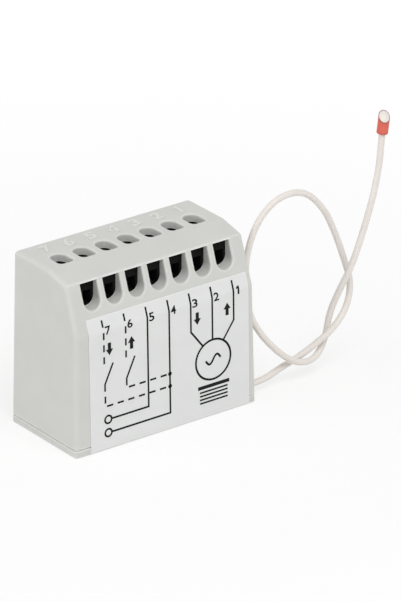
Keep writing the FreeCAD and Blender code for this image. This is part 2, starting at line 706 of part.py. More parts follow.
def wiring_label():
    """The sticker, bent over the low fold."""
    label = new_body("wiring_label")
    top = "(%s + label_over_fold)" % LOW_FOLD
    low_y = front_face_y("label_foot_gap")
    high_y = nose_face_y(top)
    outline = new_sketch(label, "YZ_Plane", "-1 * %s + label_left_margin" % CASE_HALF)
    polygon(outline, [(low_y, "label_foot_gap"), (LOW_FOLD_Y, LOW_FOLD), (high_y, top),
                      (high_y + " - label_thickness", top),
                      (LOW_FOLD_Y + " - label_thickness", LOW_FOLD),
                      (low_y + " - label_thickness", "label_foot_gap")])
    pad(label, outline, "2 * %s - label_left_margin - label_right_margin" % CASE_HALF)
    level = value(LOW_FOLD)
    fillet(label, "low_fold_radius", lambda edge: is_fold(edge, level))
    node("wiring_label", label)


# The terminal row

def terminal_block():
    """The black insulating body, with a chamber, a wire entry and a screw shaft at each pole."""
    body = new_body("terminal_block")
    profile = new_sketch(body, "YZ_Plane")
    polygon(profile, [(BLOCK_FRONT_Y, BLOCK_BOTTOM), (BOARD_FRONT_Y, BLOCK_BOTTOM),
                      (BOARD_FRONT_Y, BLOCK_TOP), (BROW_BACK_Y, BLOCK_TOP),
                      (BLOCK_FRONT_Y, BLOCK_BROW)])
    pad(body, profile, ROW + " + 2 * block_end", midplane=True)
    middle = pole_x(0)

    chamber_sketch = new_sketch(body, "XY_Plane", CAGE_TOP + " + fit_play")
    rectangle(chamber_sketch, middle + " - cage_width / 2 - fit_play",
              middle + " + cage_width / 2 + fit_play",
              CAGE_FRONT_Y + " - fit_play", CAGE_BACK_Y + " + fit_play")
    chamber = pocket(body, chamber_sketch)

    entry_sketch = new_sketch(body, "XZ_Plane", "-1 * " + CAGE_FRONT_Y)
    rectangle(entry_sketch, middle + " - entry_width / 2", middle + " + entry_width / 2",
              CAGE_FLOOR + " + entry_step", CAGE_TOP + " - cage_roof")
    entry = pocket(body, entry_sketch, reverse=True)

    leg_sketch = new_sketch(body, "XZ_Plane", "-1 * " + CAGE_BACK_Y)
    rectangle(leg_sketch, middle + " - leg_width / 2 - fit_play",
              middle + " + leg_width / 2 + fit_play", BLOCK_BOTTOM, CAGE_FLOOR + " + fit_play")
    leg = pocket(body, leg_sketch)

    shaft_sketch = new_sketch(body, "XY_Plane", BLOCK_TOP)
    circle(shaft_sketch, middle, SCREW_Y, "head_radius + head_play")
    shaft = pocket(body, shaft_sketch, "head_room")

    row_of_poles(body, [chamber, entry, leg, shaft])
    front = value(BLOCK_FRONT_Y)
    low = value(CAGE_FLOOR + " + entry_step")
    high = value(CAGE_TOP + " - cage_roof")
    chamfer(body, "entry_bevel", lambda edge: vertices_between(edge, "y", front, front)
            and vertices_between(edge, "z", low, high))
    node("terminal_block", body)


def clamp_cage(index):
    """A brass box tube that carries the screw and goes through the board as a solder leg."""
    middle = pole_x(index)
    left = middle + " - cage_width / 2"
    right = middle + " + cage_width / 2"
    tube_box = block("cage_tube_%d" % index, (left, right), (CAGE_FRONT_Y, CAGE_BACK_Y),
                     (CAGE_BOTTOM, CAGE_TOP))
    leg = block("cage_leg_%d" % index, (middle + " - leg_width / 2", middle + " + leg_width / 2"),
                (CAGE_BACK_Y, BOARD_BACK_Y + " + lead_reach"), (CAGE_BOTTOM, CAGE_FLOOR))
    window = block("cage_window_%d" % index, (left + " + cage_wall", right + " - cage_wall"),
                   (CAGE_FRONT_Y + " - cage_wall", CAGE_BACK_Y + " + cage_wall"),
                   (CAGE_FLOOR, CAGE_TOP + " - cage_roof"))
    thread = rod("cage_thread_%d" % index, "z", (middle, SCREW_Y, CAGE_TOP + " - 2 * cage_roof"),
                 "3 * cage_roof", "shank_radius + fit_play")
    whole = union("cage_solid_%d" % index, [tube_box, leg])
    return cut("cage_%d" % index, whole, [window, thread])


def clamp_plate(index, number):
    """The leaf under the screw tip that spares the wire. It is drawn shut."""
    middle = pole_x(index)
    back = CAGE_BACK_Y + " - plate_setback"
    leaf = block("leaf_%d" % number, (middle + " - plate_width / 2", middle + " + plate_width / 2"),
                 (back + " - plate_length", back), (PLATE_TOP + " - plate_thickness", PLATE_TOP))
    finished = round_edges("clamp_plate_%d" % number, leaf, "plate_thickness",
                           lambda edge: spans(edge, "z"))
    node("clamp_plate_%d" % number, finished)


def terminal_screw(index, number):
    """A slotted screw: pointed shank, then a flat head with softened edges."""
    screw = new_body("terminal_screw_%d" % number)
    tip = PLATE_TOP + " + tip_gap"
    under_head = CAGE_TOP + " + head_gap"
    top = under_head + " + head_height"
    half = new_sketch(screw, "XZ_Plane")
    polygon(half, [("0", tip), ("shank_radius / 2", tip),
                   ("shank_radius", tip + " + shank_radius / 2"),
                   ("shank_radius", under_head), ("head_radius", under_head),
                   ("head_radius", top + " - head_bevel"), ("head_radius - head_bevel", top),
                   ("0", top)])
    turned = screw.newObject("PartDesign::Revolution", screw.Name + "_turned")
    turned.Profile = half
    turned.ReferenceAxis = (half, ["V_Axis"])
    turned.Angle = 360
    DOC.recompute()
    drive = new_sketch(screw, "XY_Plane", top)
    rectangle(drive, "-1 * head_radius", "head_radius", "-1 * drive_width / 2", "drive_width / 2")
    pocket(screw, drive, "drive_depth")
    turn = FreeCAD.Rotation(Vector(0, 0, 1), SCREW_TURNS[index])
    screw.Placement = FreeCAD.Placement(Vector(), turn)
    bind(screw, {"Placement.Base.x": pole_x(index), "Placement.Base.y": SCREW_Y})
    node("terminal_screw_%d" % number, screw)


# Where each screwdriver slot happens to point, in degrees
SCREW_TURNS = (20, 65, -35, 5, 80, -60, 40)


# The board and what is soldered to it

LEAD_END_Y = BOARD_BACK_Y + " + lead_reach"
SEAT_Y = "(%s - seat_gap)" % BOARD_FRONT_Y
BOARD_HOLES = []


def lead(name, x, z, start):
    """A component lead along Y, from start through the board, with its hole."""
    wire = rod(name, "y", (x, start, z), "%s - (%s)" % (LEAD_END_Y, start), "lead_radius")
    BOARD_HOLES.append(rod(name + "_hole", "y", (x, BOARD_FRONT_Y + " - board_thickness", z),
                           "3 * board_thickness", "lead_radius + lead_play"))
    return wire


def main_board():
    sheet = block("board_sheet", ("-1 * " + BOARD_HALF, BOARD_HALF), (BOARD_FRONT_Y, BOARD_BACK_Y),
                  ("base_thickness + board_lift", INNER_ROOF + " - board_top_gap"))
    leg_holes = [rod("leg_hole_%d" % index, "y",
                     (pole_x(index), BOARD_FRONT_Y + " - board_thickness",
                      CAGE_BOTTOM + " + cage_wall / 2"),
                     "3 * board_thickness",
                     "sqrt(pow(leg_width; 2) + pow(cage_wall; 2)) / 2 + lead_play")
                 for index in range(POLE_COUNT)]
    node("main_board", cut("main_board", sheet, leg_holes + BOARD_HOLES))


RELAY_FOOT = "(base_thickness + relay_lift)"
RELAY_UP_X = "(relay_side_gap + relay_width / 2 - %s)" % CAVITY_HALF
RELAY_DOWN_X = "(%s + relay_width + relay_gap)" % RELAY_UP_X
RELAYS_RIGHT = "(%s + relay_width / 2)" % RELAY_DOWN_X


def relay(key, x):
    """A flat relay: case, base, coil on its core and yoke, sprung armature, one fixed contact.

    Heights are out from the base's face towards the front, and places along the relay
    run from its lower end to its upper end.
    """
    def part(name):
        return "relay_%s_%s" % (key, name)

    def out(height):
        return "(%s - (%s))" % (SEAT_Y, height)

    def along(place):
        return "(%s + %s)" % (RELAY_FOOT, place)

    def slab(name, half_width, near, far, low, high):
        """A box about the relay's middle."""
        return block(part(name), ("%s - (%s)" % (x, half_width), "%s + (%s)" % (x, half_width)),
                     (out(far), out(near)), (along(low), along(high)))

    def pin(name, across, low, high, place, radius):
        """A round bar between two heights."""
        return rod(part(name), "y", ("%s + %s" % (x, across), out(high), along(place)),
                   "(%s) - (%s)" % (high, low), radius)

    outside = slab("outside", "relay_width / 2", "0", "relay_height", "0", "relay_length")
    inside = slab("inside", "relay_width / 2 - relay_wall", "-1 * relay_wall",
                  "relay_height - relay_wall", "relay_wall", "relay_length - relay_wall")
    face = value(out("relay_height"))
    rounded = round_edges(part("rounded"), outside, "relay_wall / 2",
                          lambda edge: vertices_between(edge, "y", face, face))
    node(part("case"), cut(part("case"), rounded, [inside]))

    # Where the leads stand: across from the middle, and along from the lower end
    flange_half = "(relay_width / 2 - relay_wall - coil_side_gap)"
    wall_inside = "(relay_wall + 2 * fit_play)"
    coil_place = "(%s + upright_thickness + coil_gap + %s)" % (wall_inside, flange_half)
    coil_lead_place = "(%s - %s + lead_radius + fit_play)" % (coil_place, flange_half)
    coil_lead_x = "(%s - lead_radius - fit_play)" % flange_half
    common_place = "(%s + iron_thickness / 2 + lead_radius)" % wall_inside
    post_high = "(relay_length - relay_wall - contact_radius)"
    post_low = "(%s - post_width)" % post_high
    open_place = "(%s - post_width / 2)" % post_high
    stations = (("coil_a", "-1 * " + coil_lead_x, coil_lead_place),
                ("coil_b", coil_lead_x, coil_lead_place), ("common", "0", common_place),
                ("open", "0", open_place))
    middle_of_base = "relay_base / 2"
    leads = {name: lead(part(name + "_lead"), "%s + %s" % (x, across), along(place),
                        out(middle_of_base))
             for name, across, place in stations}

    plate = slab("plate", "relay_width / 2 - relay_wall - fit_play", "0", "relay_base",
                 "relay_wall + fit_play", "relay_length - relay_wall - fit_play")
    bores = [pin(name + "_bore", across, "-1 * relay_base", "2 * relay_base", place,
                 "lead_radius + fit_play") for name, across, place in stations]
    node(part("base"), cut(part("base"), plate, bores))

    # The coil: two square flanges, the winding between them, and its two leads
    coil_high = "(relay_height - armature_room - pole_thickness)"
    flanges = [slab("flange_" + name, flange_half, near, far, coil_place + " - " + flange_half,
                    coil_place + " + " + flange_half)
               for name, near, far in (("near", "coil_low", "coil_low + flange_thickness"),
                                       ("far", coil_high + " - flange_thickness", coil_high))]
    winding = pin("winding", "0", "coil_low", coil_high, coil_place, flange_half + " - coil_rim")
    tails = [pin(name + "_tail", across, middle_of_base, "coil_low + flange_thickness / 2",
                 coil_lead_place, "lead_radius") for name, across, place in stations[:2]]
    bore = pin("core_bore", "0", "coil_low - flange_thickness", coil_high + " + flange_thickness",
               coil_place, "core_radius + fit_play")
    wound = union(part("wound"), flanges + [winding] + tails + [leads["coil_a"], leads["coil_b"]])
    node(part("coil"), cut(part("coil"), wound, [bore]))

    # The iron: an upright at the lower end, a foot under the coil, the core and its pole face
    iron_half = "(%s - iron_margin)" % flange_half
    pole_high = "(relay_height - armature_room)"
    foot_low = "(coil_low - iron_thickness - fit_play)"
    upright = slab("upright", iron_half, foot_low, pole_high, wall_inside,
                   wall_inside + " + upright_thickness")
    foot = slab("foot", "foot_width / 2", foot_low, foot_low + " + iron_thickness", wall_inside,
                coil_place + " + core_radius")
    core = pin("core", "0", foot_low, pole_high, coil_place, "core_radius")
    pole = pin("pole", "0", coil_high + " + fit_play", pole_high, coil_place,
               "core_radius + pole_rim")
    tag = pin("tag", "0", middle_of_base, foot_low + " + iron_thickness / 2", common_place,
              "lead_radius")
    node(part("yoke"), union(part("yoke"), [upright, foot, core, pole, tag, leads["common"]]))

    # The armature with its spring: it swings about its lower edge, over the upright
    iron_low = "(%s + magnet_gap)" % pole_high
    leaf_low = "(%s + armature_thickness)" % iron_low
    contact_place = "(relay_length - contact_setback)"
    swinging = slab("swinging", iron_half, iron_low, leaf_low, wall_inside,
                    wall_inside + " + armature_reach")
    leaf = slab("leaf", "spring_width / 2", leaf_low, leaf_low + " + spring_thickness",
                wall_inside + " + armature_reach / 2", contact_place + " + contact_radius")
    button = pin("moving_contact", "0", iron_low, leaf_low, contact_place, "contact_radius")
    node(part("armature"), union(part("armature"), [swinging, leaf, button]))

    # The fixed contact on its bent strip
    strip_top = "(%s - contact_gap)" % iron_low
    arm_high = "(%s - contact_height)" % strip_top
    post = slab("post", "spring_width / 2", "relay_base + fit_play", arm_high, post_low, post_high)
    arm = slab("arm", "spring_width / 2", arm_high + " - contact_height", arm_high,
               contact_place + " - contact_radius", post_high)
    rivet = pin("rivet", "0", arm_high, strip_top, contact_place, "contact_radius")
    stalk = pin("stalk", "0", middle_of_base, "relay_base + 2 * fit_play", open_place, "lead_radius")
    node(part("contact"), union(part("contact"), [post, arm, rivet, stalk, leads["open"]]))


# The mains side stands to the right of the relays, stacked up from the base cover

FILM_X = "(%s - film_side_gap - film_width / 2)" % CAVITY_HALF
CAN_X = "(%s + part_gap + can_radius)" % RELAYS_RIGHT
CAN_MIDDLE = "(base_thickness + can_lift + can_radius)"
DISC_X = "(%s + part_gap + disc_thickness / 2)" % RELAYS_RIGHT
DISC_MIDDLE = "(%s + can_radius + part_gap + disc_radius)" % CAN_MIDDLE
FILM_MIDDLE = "(%s + disc_radius + film_clear + film_height / 2)" % DISC_MIDDLE
RESISTOR_X = "(%s + disc_thickness / 2 + part_gap + resistor_radius)" % DISC_X
RADIO_RIGHT = "(%s - radio_side_gap)" % CAVITY_HALF
RADIO_LEFT = "(%s - radio_width)" % RADIO_RIGHT
RADIO_FOOT = "(base_thickness + radio_lift)"
HEADER_X = "(%s + header_inset)" % RADIO_LEFT
CHOKE_X = "(%s + header_pitch / 2 + part_gap / 2 + choke_size / 2)" % HEADER_X
BRIDGE_X = "(%s + header_pitch / 2 + part_gap + bridge_width / 2)" % HEADER_X
CHOKE_MIDDLE = "(%s + part_gap / 2 + choke_size / 2)" % RADIO_FOOT
BRIDGE_MIDDLE = ("(%s + choke_size / 2 + chip_leg + part_gap + chip_depth / 2)"
                 % CHOKE_MIDDLE)


def seated_box(name, x, z, width, depth, height, corner):
    """A box that stands on the board's front, with its corner edges rounded."""
    box = block(name + "_box", ("%s - %s / 2" % (x, width), "%s + %s / 2" % (x, width)),
                (SEAT_Y + " - " + depth, SEAT_Y),
                ("%s - %s / 2" % (z, height), "%s + %s / 2" % (z, height)))
    return round_edges(name + "_corners", box, corner, lambda edge: spans(edge, "y"))


def mains_parts():
    """The supply: filter capacitor, smoothing can, varistor, fusible resistor and choke."""
    corners = seated_box("film", FILM_X, FILM_MIDDLE, "film_width", "film_depth", "film_height",
                         "relay_wall")
    leads = [lead("film_lead_" + name, "%s %s film_pitch / 2" % (FILM_X, sign), FILM_MIDDLE,
                  SEAT_Y + " - seat_gap") for name, sign in (("a", "-"), ("b", "+"))]
    node("mains_filter_capacitor", union("mains_filter_capacitor", [corners] + leads))

    can = rod("can_body", "y", (CAN_X, SEAT_Y + " - can_length", CAN_MIDDLE), "can_length",
              "can_radius")
    rounded = round_edges("can_rounded", can, "can_radius / 8", lambda edge: edge.Closed)
    leads = [lead("can_lead_" + name, "%s %s can_pitch / 2" % (CAN_X, sign), CAN_MIDDLE,
                  SEAT_Y + " - seat_gap") for name, sign in (("a", "-"), ("b", "+"))]
    node("smoothing_capacitor", union("smoothing_capacitor", [rounded] + leads))

    disc = rod("disc_body", "x", (DISC_X + " - disc_thickness / 2",
                                  SEAT_Y + " - part_gap - disc_radius", DISC_MIDDLE),
               "disc_thickness", "disc_radius")
    rounded = round_edges("disc_rounded", disc, "disc_thickness / 4", lambda edge: edge.Closed)
    leads = [lead("disc_lead_" + name, "%s %s lead_radius" % (DISC_X, sign),
                  "%s %s disc_pitch / 2" % (DISC_MIDDLE, sign), SEAT_Y + " - part_gap - disc_radius / 2")
             for name, sign in (("a", "-"), ("b", "+"))]
    node("surge_varistor", union("surge_varistor", [rounded] + leads))

    axis_y = "(%s - resistor_radius - seat_gap)" % SEAT_Y
    half = "(resistor_length / 2 + resistor_bend)"
    barrel = rod("resistor_body", "z", (RESISTOR_X, axis_y, DISC_MIDDLE + " - resistor_length / 2"),
                 "resistor_length", "resistor_radius")
    rounded = round_edges("resistor_rounded", barrel, "resistor_radius / 3",
                          lambda edge: edge.Closed)
    arms = rod("resistor_arms", "z", (RESISTOR_X, axis_y, "%s - %s" % (DISC_MIDDLE, half)),
               "2 * " + half, "lead_radius")
    pieces = [rounded, arms]
    for name, sign in (("a", "-"), ("b", "+")):
        bend = "%s %s %s" % (DISC_MIDDLE, sign, half)
        pieces.append(lead("resistor_lead_" + name, RESISTOR_X, bend, axis_y))
        pieces.append(ball("resistor_bend_" + name, (RESISTOR_X, axis_y, bend), "lead_radius"))
    node("fusible_resistor", union("fusible_resistor", pieces))

    core = seated_box("choke", CHOKE_X, CHOKE_MIDDLE, "choke_size", "choke_height", "choke_size",
                      "choke_pad")
    pads = [block("choke_pad_" + name, (left, left + " + choke_pad"), (SEAT_Y, BOARD_FRONT_Y),
                  (CHOKE_MIDDLE + " - choke_pad", CHOKE_MIDDLE + " + choke_pad"))
            for name, left in (("a", CHOKE_X + " - choke_size / 2"),
                               ("b", CHOKE_X + " + choke_size / 2 - choke_pad"))]
    node("supply_choke", union("supply_choke", [core] + pads))


def ball(name, centre, radius):
    sphere = DOC.addObject("Part::Sphere", name)
    bind(sphere, {"Radius": radius, "Placement.Base.x": centre[0],
                  "Placement.Base.y": centre[1], "Placement.Base.z": centre[2]})
    return sphere


def chip(name, place, size, legs, face, outward):
    """A moulded chip with bent legs on its long sides.

    place is its middle (x, z), size its width, depth and thickness, face the board
    surface, and outward +1 towards the back or -1 towards the front.
    """
    x, z = place
    width, depth, thickness = size

    def between(near, far):
        levels = ["%s + %d * (%s)" % (face, outward, amount) for amount in (near, far)]
        return tuple(levels) if outward > 0 else tuple(reversed(levels))

    def leg_span(side, reach):
        """From just inside one long side of the mould to reach beyond it."""
        edge = "%s %s %s / 2" % (z, side, depth)
        if side == "-":
            return ("%s - %s" % (edge, reach), edge + " + chip_pin")
        return (edge + " - chip_pin", "%s + %s" % (edge, reach))

    pieces = [block(name + "_mould", ("%s - %s / 2" % (x, width), "%s + %s / 2" % (x, width)),
                    between("chip_pin", "chip_pin + " + thickness),
                    ("%s - %s / 2" % (z, depth), "%s + %s / 2" % (z, depth)))]
    for index in range(legs):
        middle = "%s + %s * %g" % (x, width, (index + 0.5) / legs - 0.5)
        half = "%s / %d" % (width, 6 * legs)
        span = (middle + " - " + half, middle + " + " + half)
        for label, side in (("low", "-"), ("high", "+")):
            pieces.append(block("%s_%s_foot_%d" % (name, label, index), span,
                                between("0", "chip_pin"), leg_span(side, "chip_leg")))
            pieces.append(block("%s_%s_knee_%d" % (name, label, index), span,
                                between("0", thickness + " / 2"),
                                leg_span(side, "chip_leg / 2")))
    return union(name, pieces)


def small_parts():
    """Surface-mounted chips, and the radio board on its header."""
    node("bridge_rectifier", chip("bridge_rectifier", (BRIDGE_X, BRIDGE_MIDDLE),
                                  ("bridge_width", "chip_depth", "bridge_height"), 2,
                                  BOARD_FRONT_Y, -1))
    node("microcontroller", chip("microcontroller",
                                 (RELAYS_RIGHT + " - controller_setback", "controller_rise"),
                                 ("chip_width", "chip_depth", "chip_height"), 7, BOARD_BACK_Y, 1))
    node("supply_regulator", chip("supply_regulator",
                                  (BRIDGE_X + " - regulator_setback", "regulator_rise"),
                                  ("regulator_width", "chip_depth", "chip_height"), 4,
                                  BOARD_BACK_Y, 1))
    above_relays = RELAY_FOOT + " + relay_length + driver_depth"
    drivers = [chip("relay_driver_" + name, (x, above_relays),
                    ("driver_width", "driver_depth", "chip_height"), 2, BOARD_BACK_Y, 1)
               for name, x in (("up", RELAY_UP_X), ("down", RELAY_DOWN_X))]
    node("relay_drivers", group("relay_drivers", drivers))

    radio_back = "(%s - radio_space)" % BOARD_FRONT_Y
    radio_front = "(%s - radio_thickness)" % radio_back
    card = block("radio_card", (RADIO_LEFT, RADIO_RIGHT), (radio_front, radio_back),
                 (RADIO_FOOT, RADIO_FOOT + " + radio_height"))
    spots = ["%s + radio_height / 2 + header_pitch * %g"
             % (RADIO_FOOT, index - (HEADER_PINS - 1) / 2) for index in range(HEADER_PINS)]
    card_holes = [rod("card_hole_%d" % index, "y",
                      (HEADER_X, radio_front + " - radio_thickness", spot),
                      "3 * radio_thickness", "lead_radius + lead_play")
                  for index, spot in enumerate(spots)]
    node("radio_board", cut("radio_board", card, card_holes))
    bar = block("header_bar", (HEADER_X + " - header_pitch / 2", HEADER_X + " + header_pitch / 2"),
                (BOARD_FRONT_Y + " - header_bar", BOARD_FRONT_Y),
                (spots[0] + " - header_pitch / 2", spots[-1] + " + header_pitch / 2"))
    pins = [lead("header_pin_%d" % index, HEADER_X, spot, radio_front + " - radio_thickness")
            for index, spot in enumerate(spots)]
    node("radio_header", union("radio_header", [bar] + pins))
    middle_x = "(%s + radio_width / 2 + header_inset)" % RADIO_LEFT
    node("radio_chip", chip("radio_chip",
                            (middle_x, RADIO_FOOT + " + radio_height - transceiver_drop"),
                            ("transceiver_width", "transceiver_depth", "transceiver_height"), 5,
                            radio_front, -1))
    crystal = block("crystal_can",
                    (middle_x + " - crystal_width / 2", middle_x + " + crystal_width / 2"),
                    (radio_front + " - crystal_thickness", radio_front),
                    (RADIO_FOOT + " + crystal_low", RADIO_FOOT + " + crystal_low + crystal_height"))
    node("radio_crystal", round_edges("radio_crystal", crystal, "crystal_thickness / 2",
                                      lambda edge: spans(edge, "y")))


def pairing_parts():
    """The sunk button in the back wall, its switch, and the status lamp behind a light pipe."""
    wall_back = back_face_y("button_rise")
    wall_inside = wall_back + " - wall_thickness"
    half = "switch_size / 2"
    seat = block("switch_seat", ("button_x - " + half, "button_x + " + half),
                 (BOARD_BACK_Y, BOARD_BACK_Y + " + switch_height"),
                 ("button_rise - " + half, "button_rise + " + half))
    plunger_tip = BOARD_BACK_Y + " + switch_height - chip_pin"
    well_floor = plunger_tip + " - button_travel - fit_play"
    well = rod("switch_well", "y", ("button_x", well_floor, "button_rise"), "switch_height",
               "plunger_radius + button_play")
    node("pairing_switch", cut("pairing_switch", seat, [well]))

    collar_front = "(%s - fit_play - collar_thickness)" % wall_inside
    stem = rod("button_stem", "y", ("button_x", collar_front, "button_rise"),
               "%s - button_sunk - %s" % (wall_back, collar_front), "button_radius")
    collar = rod("button_collar", "y", ("button_x", collar_front, "button_rise"),
                 "collar_thickness", "collar_radius")
    plunger = rod("button_plunger", "y", ("button_x", plunger_tip, "button_rise"),
                  "%s - (%s)" % (collar_front, plunger_tip), "plunger_radius")
    node("pairing_button", union("pairing_button", [stem, collar, plunger]))

    lamp_z = "(button_rise + lamp_rise)"
    node("status_lamp", block("status_lamp", ("button_x - lamp_size / 2", "button_x + lamp_size / 2"),
                              (BOARD_BACK_Y, BOARD_BACK_Y + " + lamp_height"),
                              (lamp_z + " - lamp_size / 3", lamp_z + " + lamp_size / 3")))
    outside = back_face_y(lamp_z)
    foot = "(%s + lamp_height + fit_play)" % BOARD_BACK_Y
    pipe = rod("pipe_stem", "y", ("button_x", foot, lamp_z), "%s - fit_play - %s" % (outside, foot),
               "pipe_radius")
    flange = rod("pipe_flange", "y", ("button_x", foot, lamp_z),
                 "%s - wall_thickness - fit_play - %s" % (outside, foot), "pipe_radius * 1.5")
    node("light_pipe", union("light_pipe", [pipe, flange]))


# The aerial wire: route points chosen by hand, from the notch to the tip

ROUTE = [
    (20.6, -7.2, 2.1),
    (24.6, -7.1, 2.0),
    (28.9, -6.4, 2.9),
    (33.5, -6.2, 3.9),
    (37.2, -7.0, 6.0),
    (41.1, -7.5, 8.4),
    (45.0, -6.5, 11.4),
    (46.8, -5.3, 15.6),
    (45.6, -4.6, 20.4),
    (43.6, -4.3, 26.2),
    (41.0, -4.2, 31.8),
    (36.2, -4.2, 36.7),
    (30.1, -4.2, 36.9),
    (25.3, -4.2, 33.3),
    (22.7, -4.4, 27.6),
    (22.1, -4.7, 21.1),
    (22.6, -5.4, 15.2),
    (24.8, -6.4, 10.8),
    (28.0, -7.6, 6.8),
    (31.7, -8.1, 3.9),
    (36.5, -7.4, 2.9),
    (40.2, -6.0, 5.7),
    (41.7, -5.2, 10.5),
    (43.3, -6.3, 15.3),
    (45.4, -7.2, 19.9),
    (48.3, -6.7, 25.6),
    (51.2, -6.0, 31.8),
    (53.1, -5.5, 38.0),
    (53.7, -5.2, 42.9),
    (54.3, -5.2, 47.3),
]
# The same wire inside the case, from the notch to its pad on the radio board
TAIL = [(20.56, -7.2, 2.1), (15.6, -7.2, 2.1), (13.4, -6.0, 4.6)]
# How much of the shorter run beside it a bend takes
BEND_SHARE = 0.45
# Where the slanted mouth of the tip sleeve faces: to the front and up
MOUTH_FACES = Vector(-0.19, -0.59, 0.785)


def tube(name, points, radius):
    """A round rod along straight runs joined by tangent arcs."""
    places = [Vector(*point) for point in points]
    edges = []
    start = places[0]
    least = None
    for before, corner, after in zip(places, places[1:], places[2:]):
        run_in = corner - before
        run_out = after - corner
        turn = run_in.getAngle(run_out)
        setback = BEND_SHARE * min(run_in.Length, run_out.Length)
        bend = setback / math.tan(turn / 2)
        least = bend if least is None else min(least, bend)
        towards = Vector(run_in).normalize()
        onwards = Vector(run_out).normalize()
        first = corner - towards * setback
        last = corner + onwards * setback
        inwards = (onwards - towards).normalize()
        middle = corner + inwards * (bend / math.cos(turn / 2) - bend)
        edges.append(Part.LineSegment(start, first).toShape())
        edges.append(Part.Arc(first, middle, last).toShape())
        print("%s turn %.0f degrees, radius %.1f mm" % (name, math.degrees(turn), bend))
        start = last
    edges.append(Part.LineSegment(start, places[-1]).toShape())
    path = Part.Wire(edges)
    heading = (places[1] - places[0]).normalize()
    ring = Part.Wire(Part.Circle(places[0], heading, radius).toShape())
    solid = Part.Solid(path.makePipeShell([ring], True, False))
    expected = math.pi * radius ** 2 * path.Length
    print("%s length %.1f mm, least radius %.1f mm, volume %.1f of %.1f mm3"
          % (name, path.Length, least, solid.Volume, expected))
    piece = DOC.addObject("Part::Feature", name)
    piece.Shape = solid
    return node(name, piece)


def aerial():
    radius = value("wire_radius")
    tube("antenna_wire", ROUTE, radius)
    pad_y = value("%s - radio_space - radio_thickness" % BOARD_FRONT_Y)
    last = TAIL[-1]
    tube("antenna_tail", TAIL + [(last[0], pad_y, last[2])], radius)


def tip_sleeve():
    """The coloured sleeve on the wire's end: a short tube with a slanted mouth."""
    end = Vector(*ROUTE[-1])
    heading = (end - Vector(*ROUTE[-2])).normalize()
    length = value("sleeve_length")
    radius = value("sleeve_radius")
    foot = end - heading * length
    outside = Part.makeCylinder(radius, 2 * length, foot, heading)
    rim = [edge for edge in outside.Edges
           if edge.Closed and (edge.CenterOfMass - foot).Length < TOLERANCE]
    rounded = outside.makeFillet(value("sleeve_bend"), rim)
    bore = Part.makeCylinder(value("wire_radius + wire_play"), 3 * length,
                             foot - heading * length, heading)
    above = Part.makeCylinder(3 * radius, 3 * length, end, MOUTH_FACES)
    sleeve = DOC.addObject("Part::Feature", "antenna_tip_sleeve")
    sleeve.Shape = rounded.cut(bore).cut(above)
    node("antenna_tip_sleeve", sleeve)


# The whole controller

housing_shell()
base_cover()
wiring_label()
terminal_block()
node("clamp_cages", group("clamp_cages", [clamp_cage(index) for index in range(POLE_COUNT)]))
for pole in range(POLE_COUNT):
    clamp_plate(pole, POLE_COUNT - pole)
    terminal_screw(pole, POLE_COUNT - pole)
relay("up", RELAY_UP_X)
relay("down", RELAY_DOWN_X)
mains_parts()
small_parts()
pairing_parts()
aerial()
tip_sleeve()
main_board()
DOC.recompute()

for thing in DOC.Objects:
    if "Invalid" in thing.State or "Error" in thing.State:
        raise RuntimeError("%s is in state %s" % (thing.Label, thing.State))
for name, piece in NODES.items():
    if piece.Shape.isNull() or not piece.Shape.isValid():
        raise RuntimeError("%s has no valid shape" % name)
os.makedirs("parts", exist_ok=True)
for name, piece in NODES.items():
    piece.Shape.exportStep("parts/%s.step" % name)
print("%d pieces written" % len(NODES))
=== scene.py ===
# %% [markdown]
# # A roller shade controller
# The object is a small off-white case that hides in a wall box behind a switch. Seven
# screw terminals sit under a sloped brow, a white sticker shows how to wire them, and a
# thin aerial wire leaves low on the right side and makes one open loop.
#
# The construction model already holds every solid at its real size. This notebook gives
# those solids their finish, prints the sticker, draws the wire as a smooth curve and
# adds what only shows close up. All lengths are metres, +Z is up, the sticker faces -Y,
# and the origin is the middle of the case's bottom face.

# %% Load the construction model
import bpy
import bmesh
import math
import numpy as np
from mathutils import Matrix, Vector


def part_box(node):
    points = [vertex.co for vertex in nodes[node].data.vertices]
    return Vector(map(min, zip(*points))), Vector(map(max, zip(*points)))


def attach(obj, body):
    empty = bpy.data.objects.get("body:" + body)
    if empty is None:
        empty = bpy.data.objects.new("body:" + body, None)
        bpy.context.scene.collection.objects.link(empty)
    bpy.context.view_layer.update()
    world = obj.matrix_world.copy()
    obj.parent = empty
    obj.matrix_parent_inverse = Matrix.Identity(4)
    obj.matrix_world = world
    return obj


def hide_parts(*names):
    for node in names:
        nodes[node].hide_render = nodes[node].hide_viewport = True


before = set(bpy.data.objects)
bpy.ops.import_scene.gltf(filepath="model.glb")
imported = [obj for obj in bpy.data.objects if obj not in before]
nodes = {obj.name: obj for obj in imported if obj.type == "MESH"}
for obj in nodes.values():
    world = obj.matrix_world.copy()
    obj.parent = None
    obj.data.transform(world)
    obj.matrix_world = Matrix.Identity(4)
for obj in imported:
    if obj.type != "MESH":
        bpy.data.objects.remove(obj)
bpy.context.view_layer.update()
MM = 0.001

# %% [markdown]
# ## The camera
# The photograph was taken from the front left, a little above, through a long lens: the
# case's edges stay almost parallel. A camera could be given a place and three angles. It
# is described here the way a photographer would, because each value can then be changed
# on its own: what it looks at, how far away it stands, and in which direction.

# %% Place the camera
LOOK_AT = Vector((15.19, -0.2, 18.44)) * MM
CAMERA_DISTANCE = 1007.2 * MM
CAMERA_AZIMUTH = math.radians(-36.87)
CAMERA_ELEVATION = math.radians(24.46)
LENS = 325.1
SENSOR = 36.0

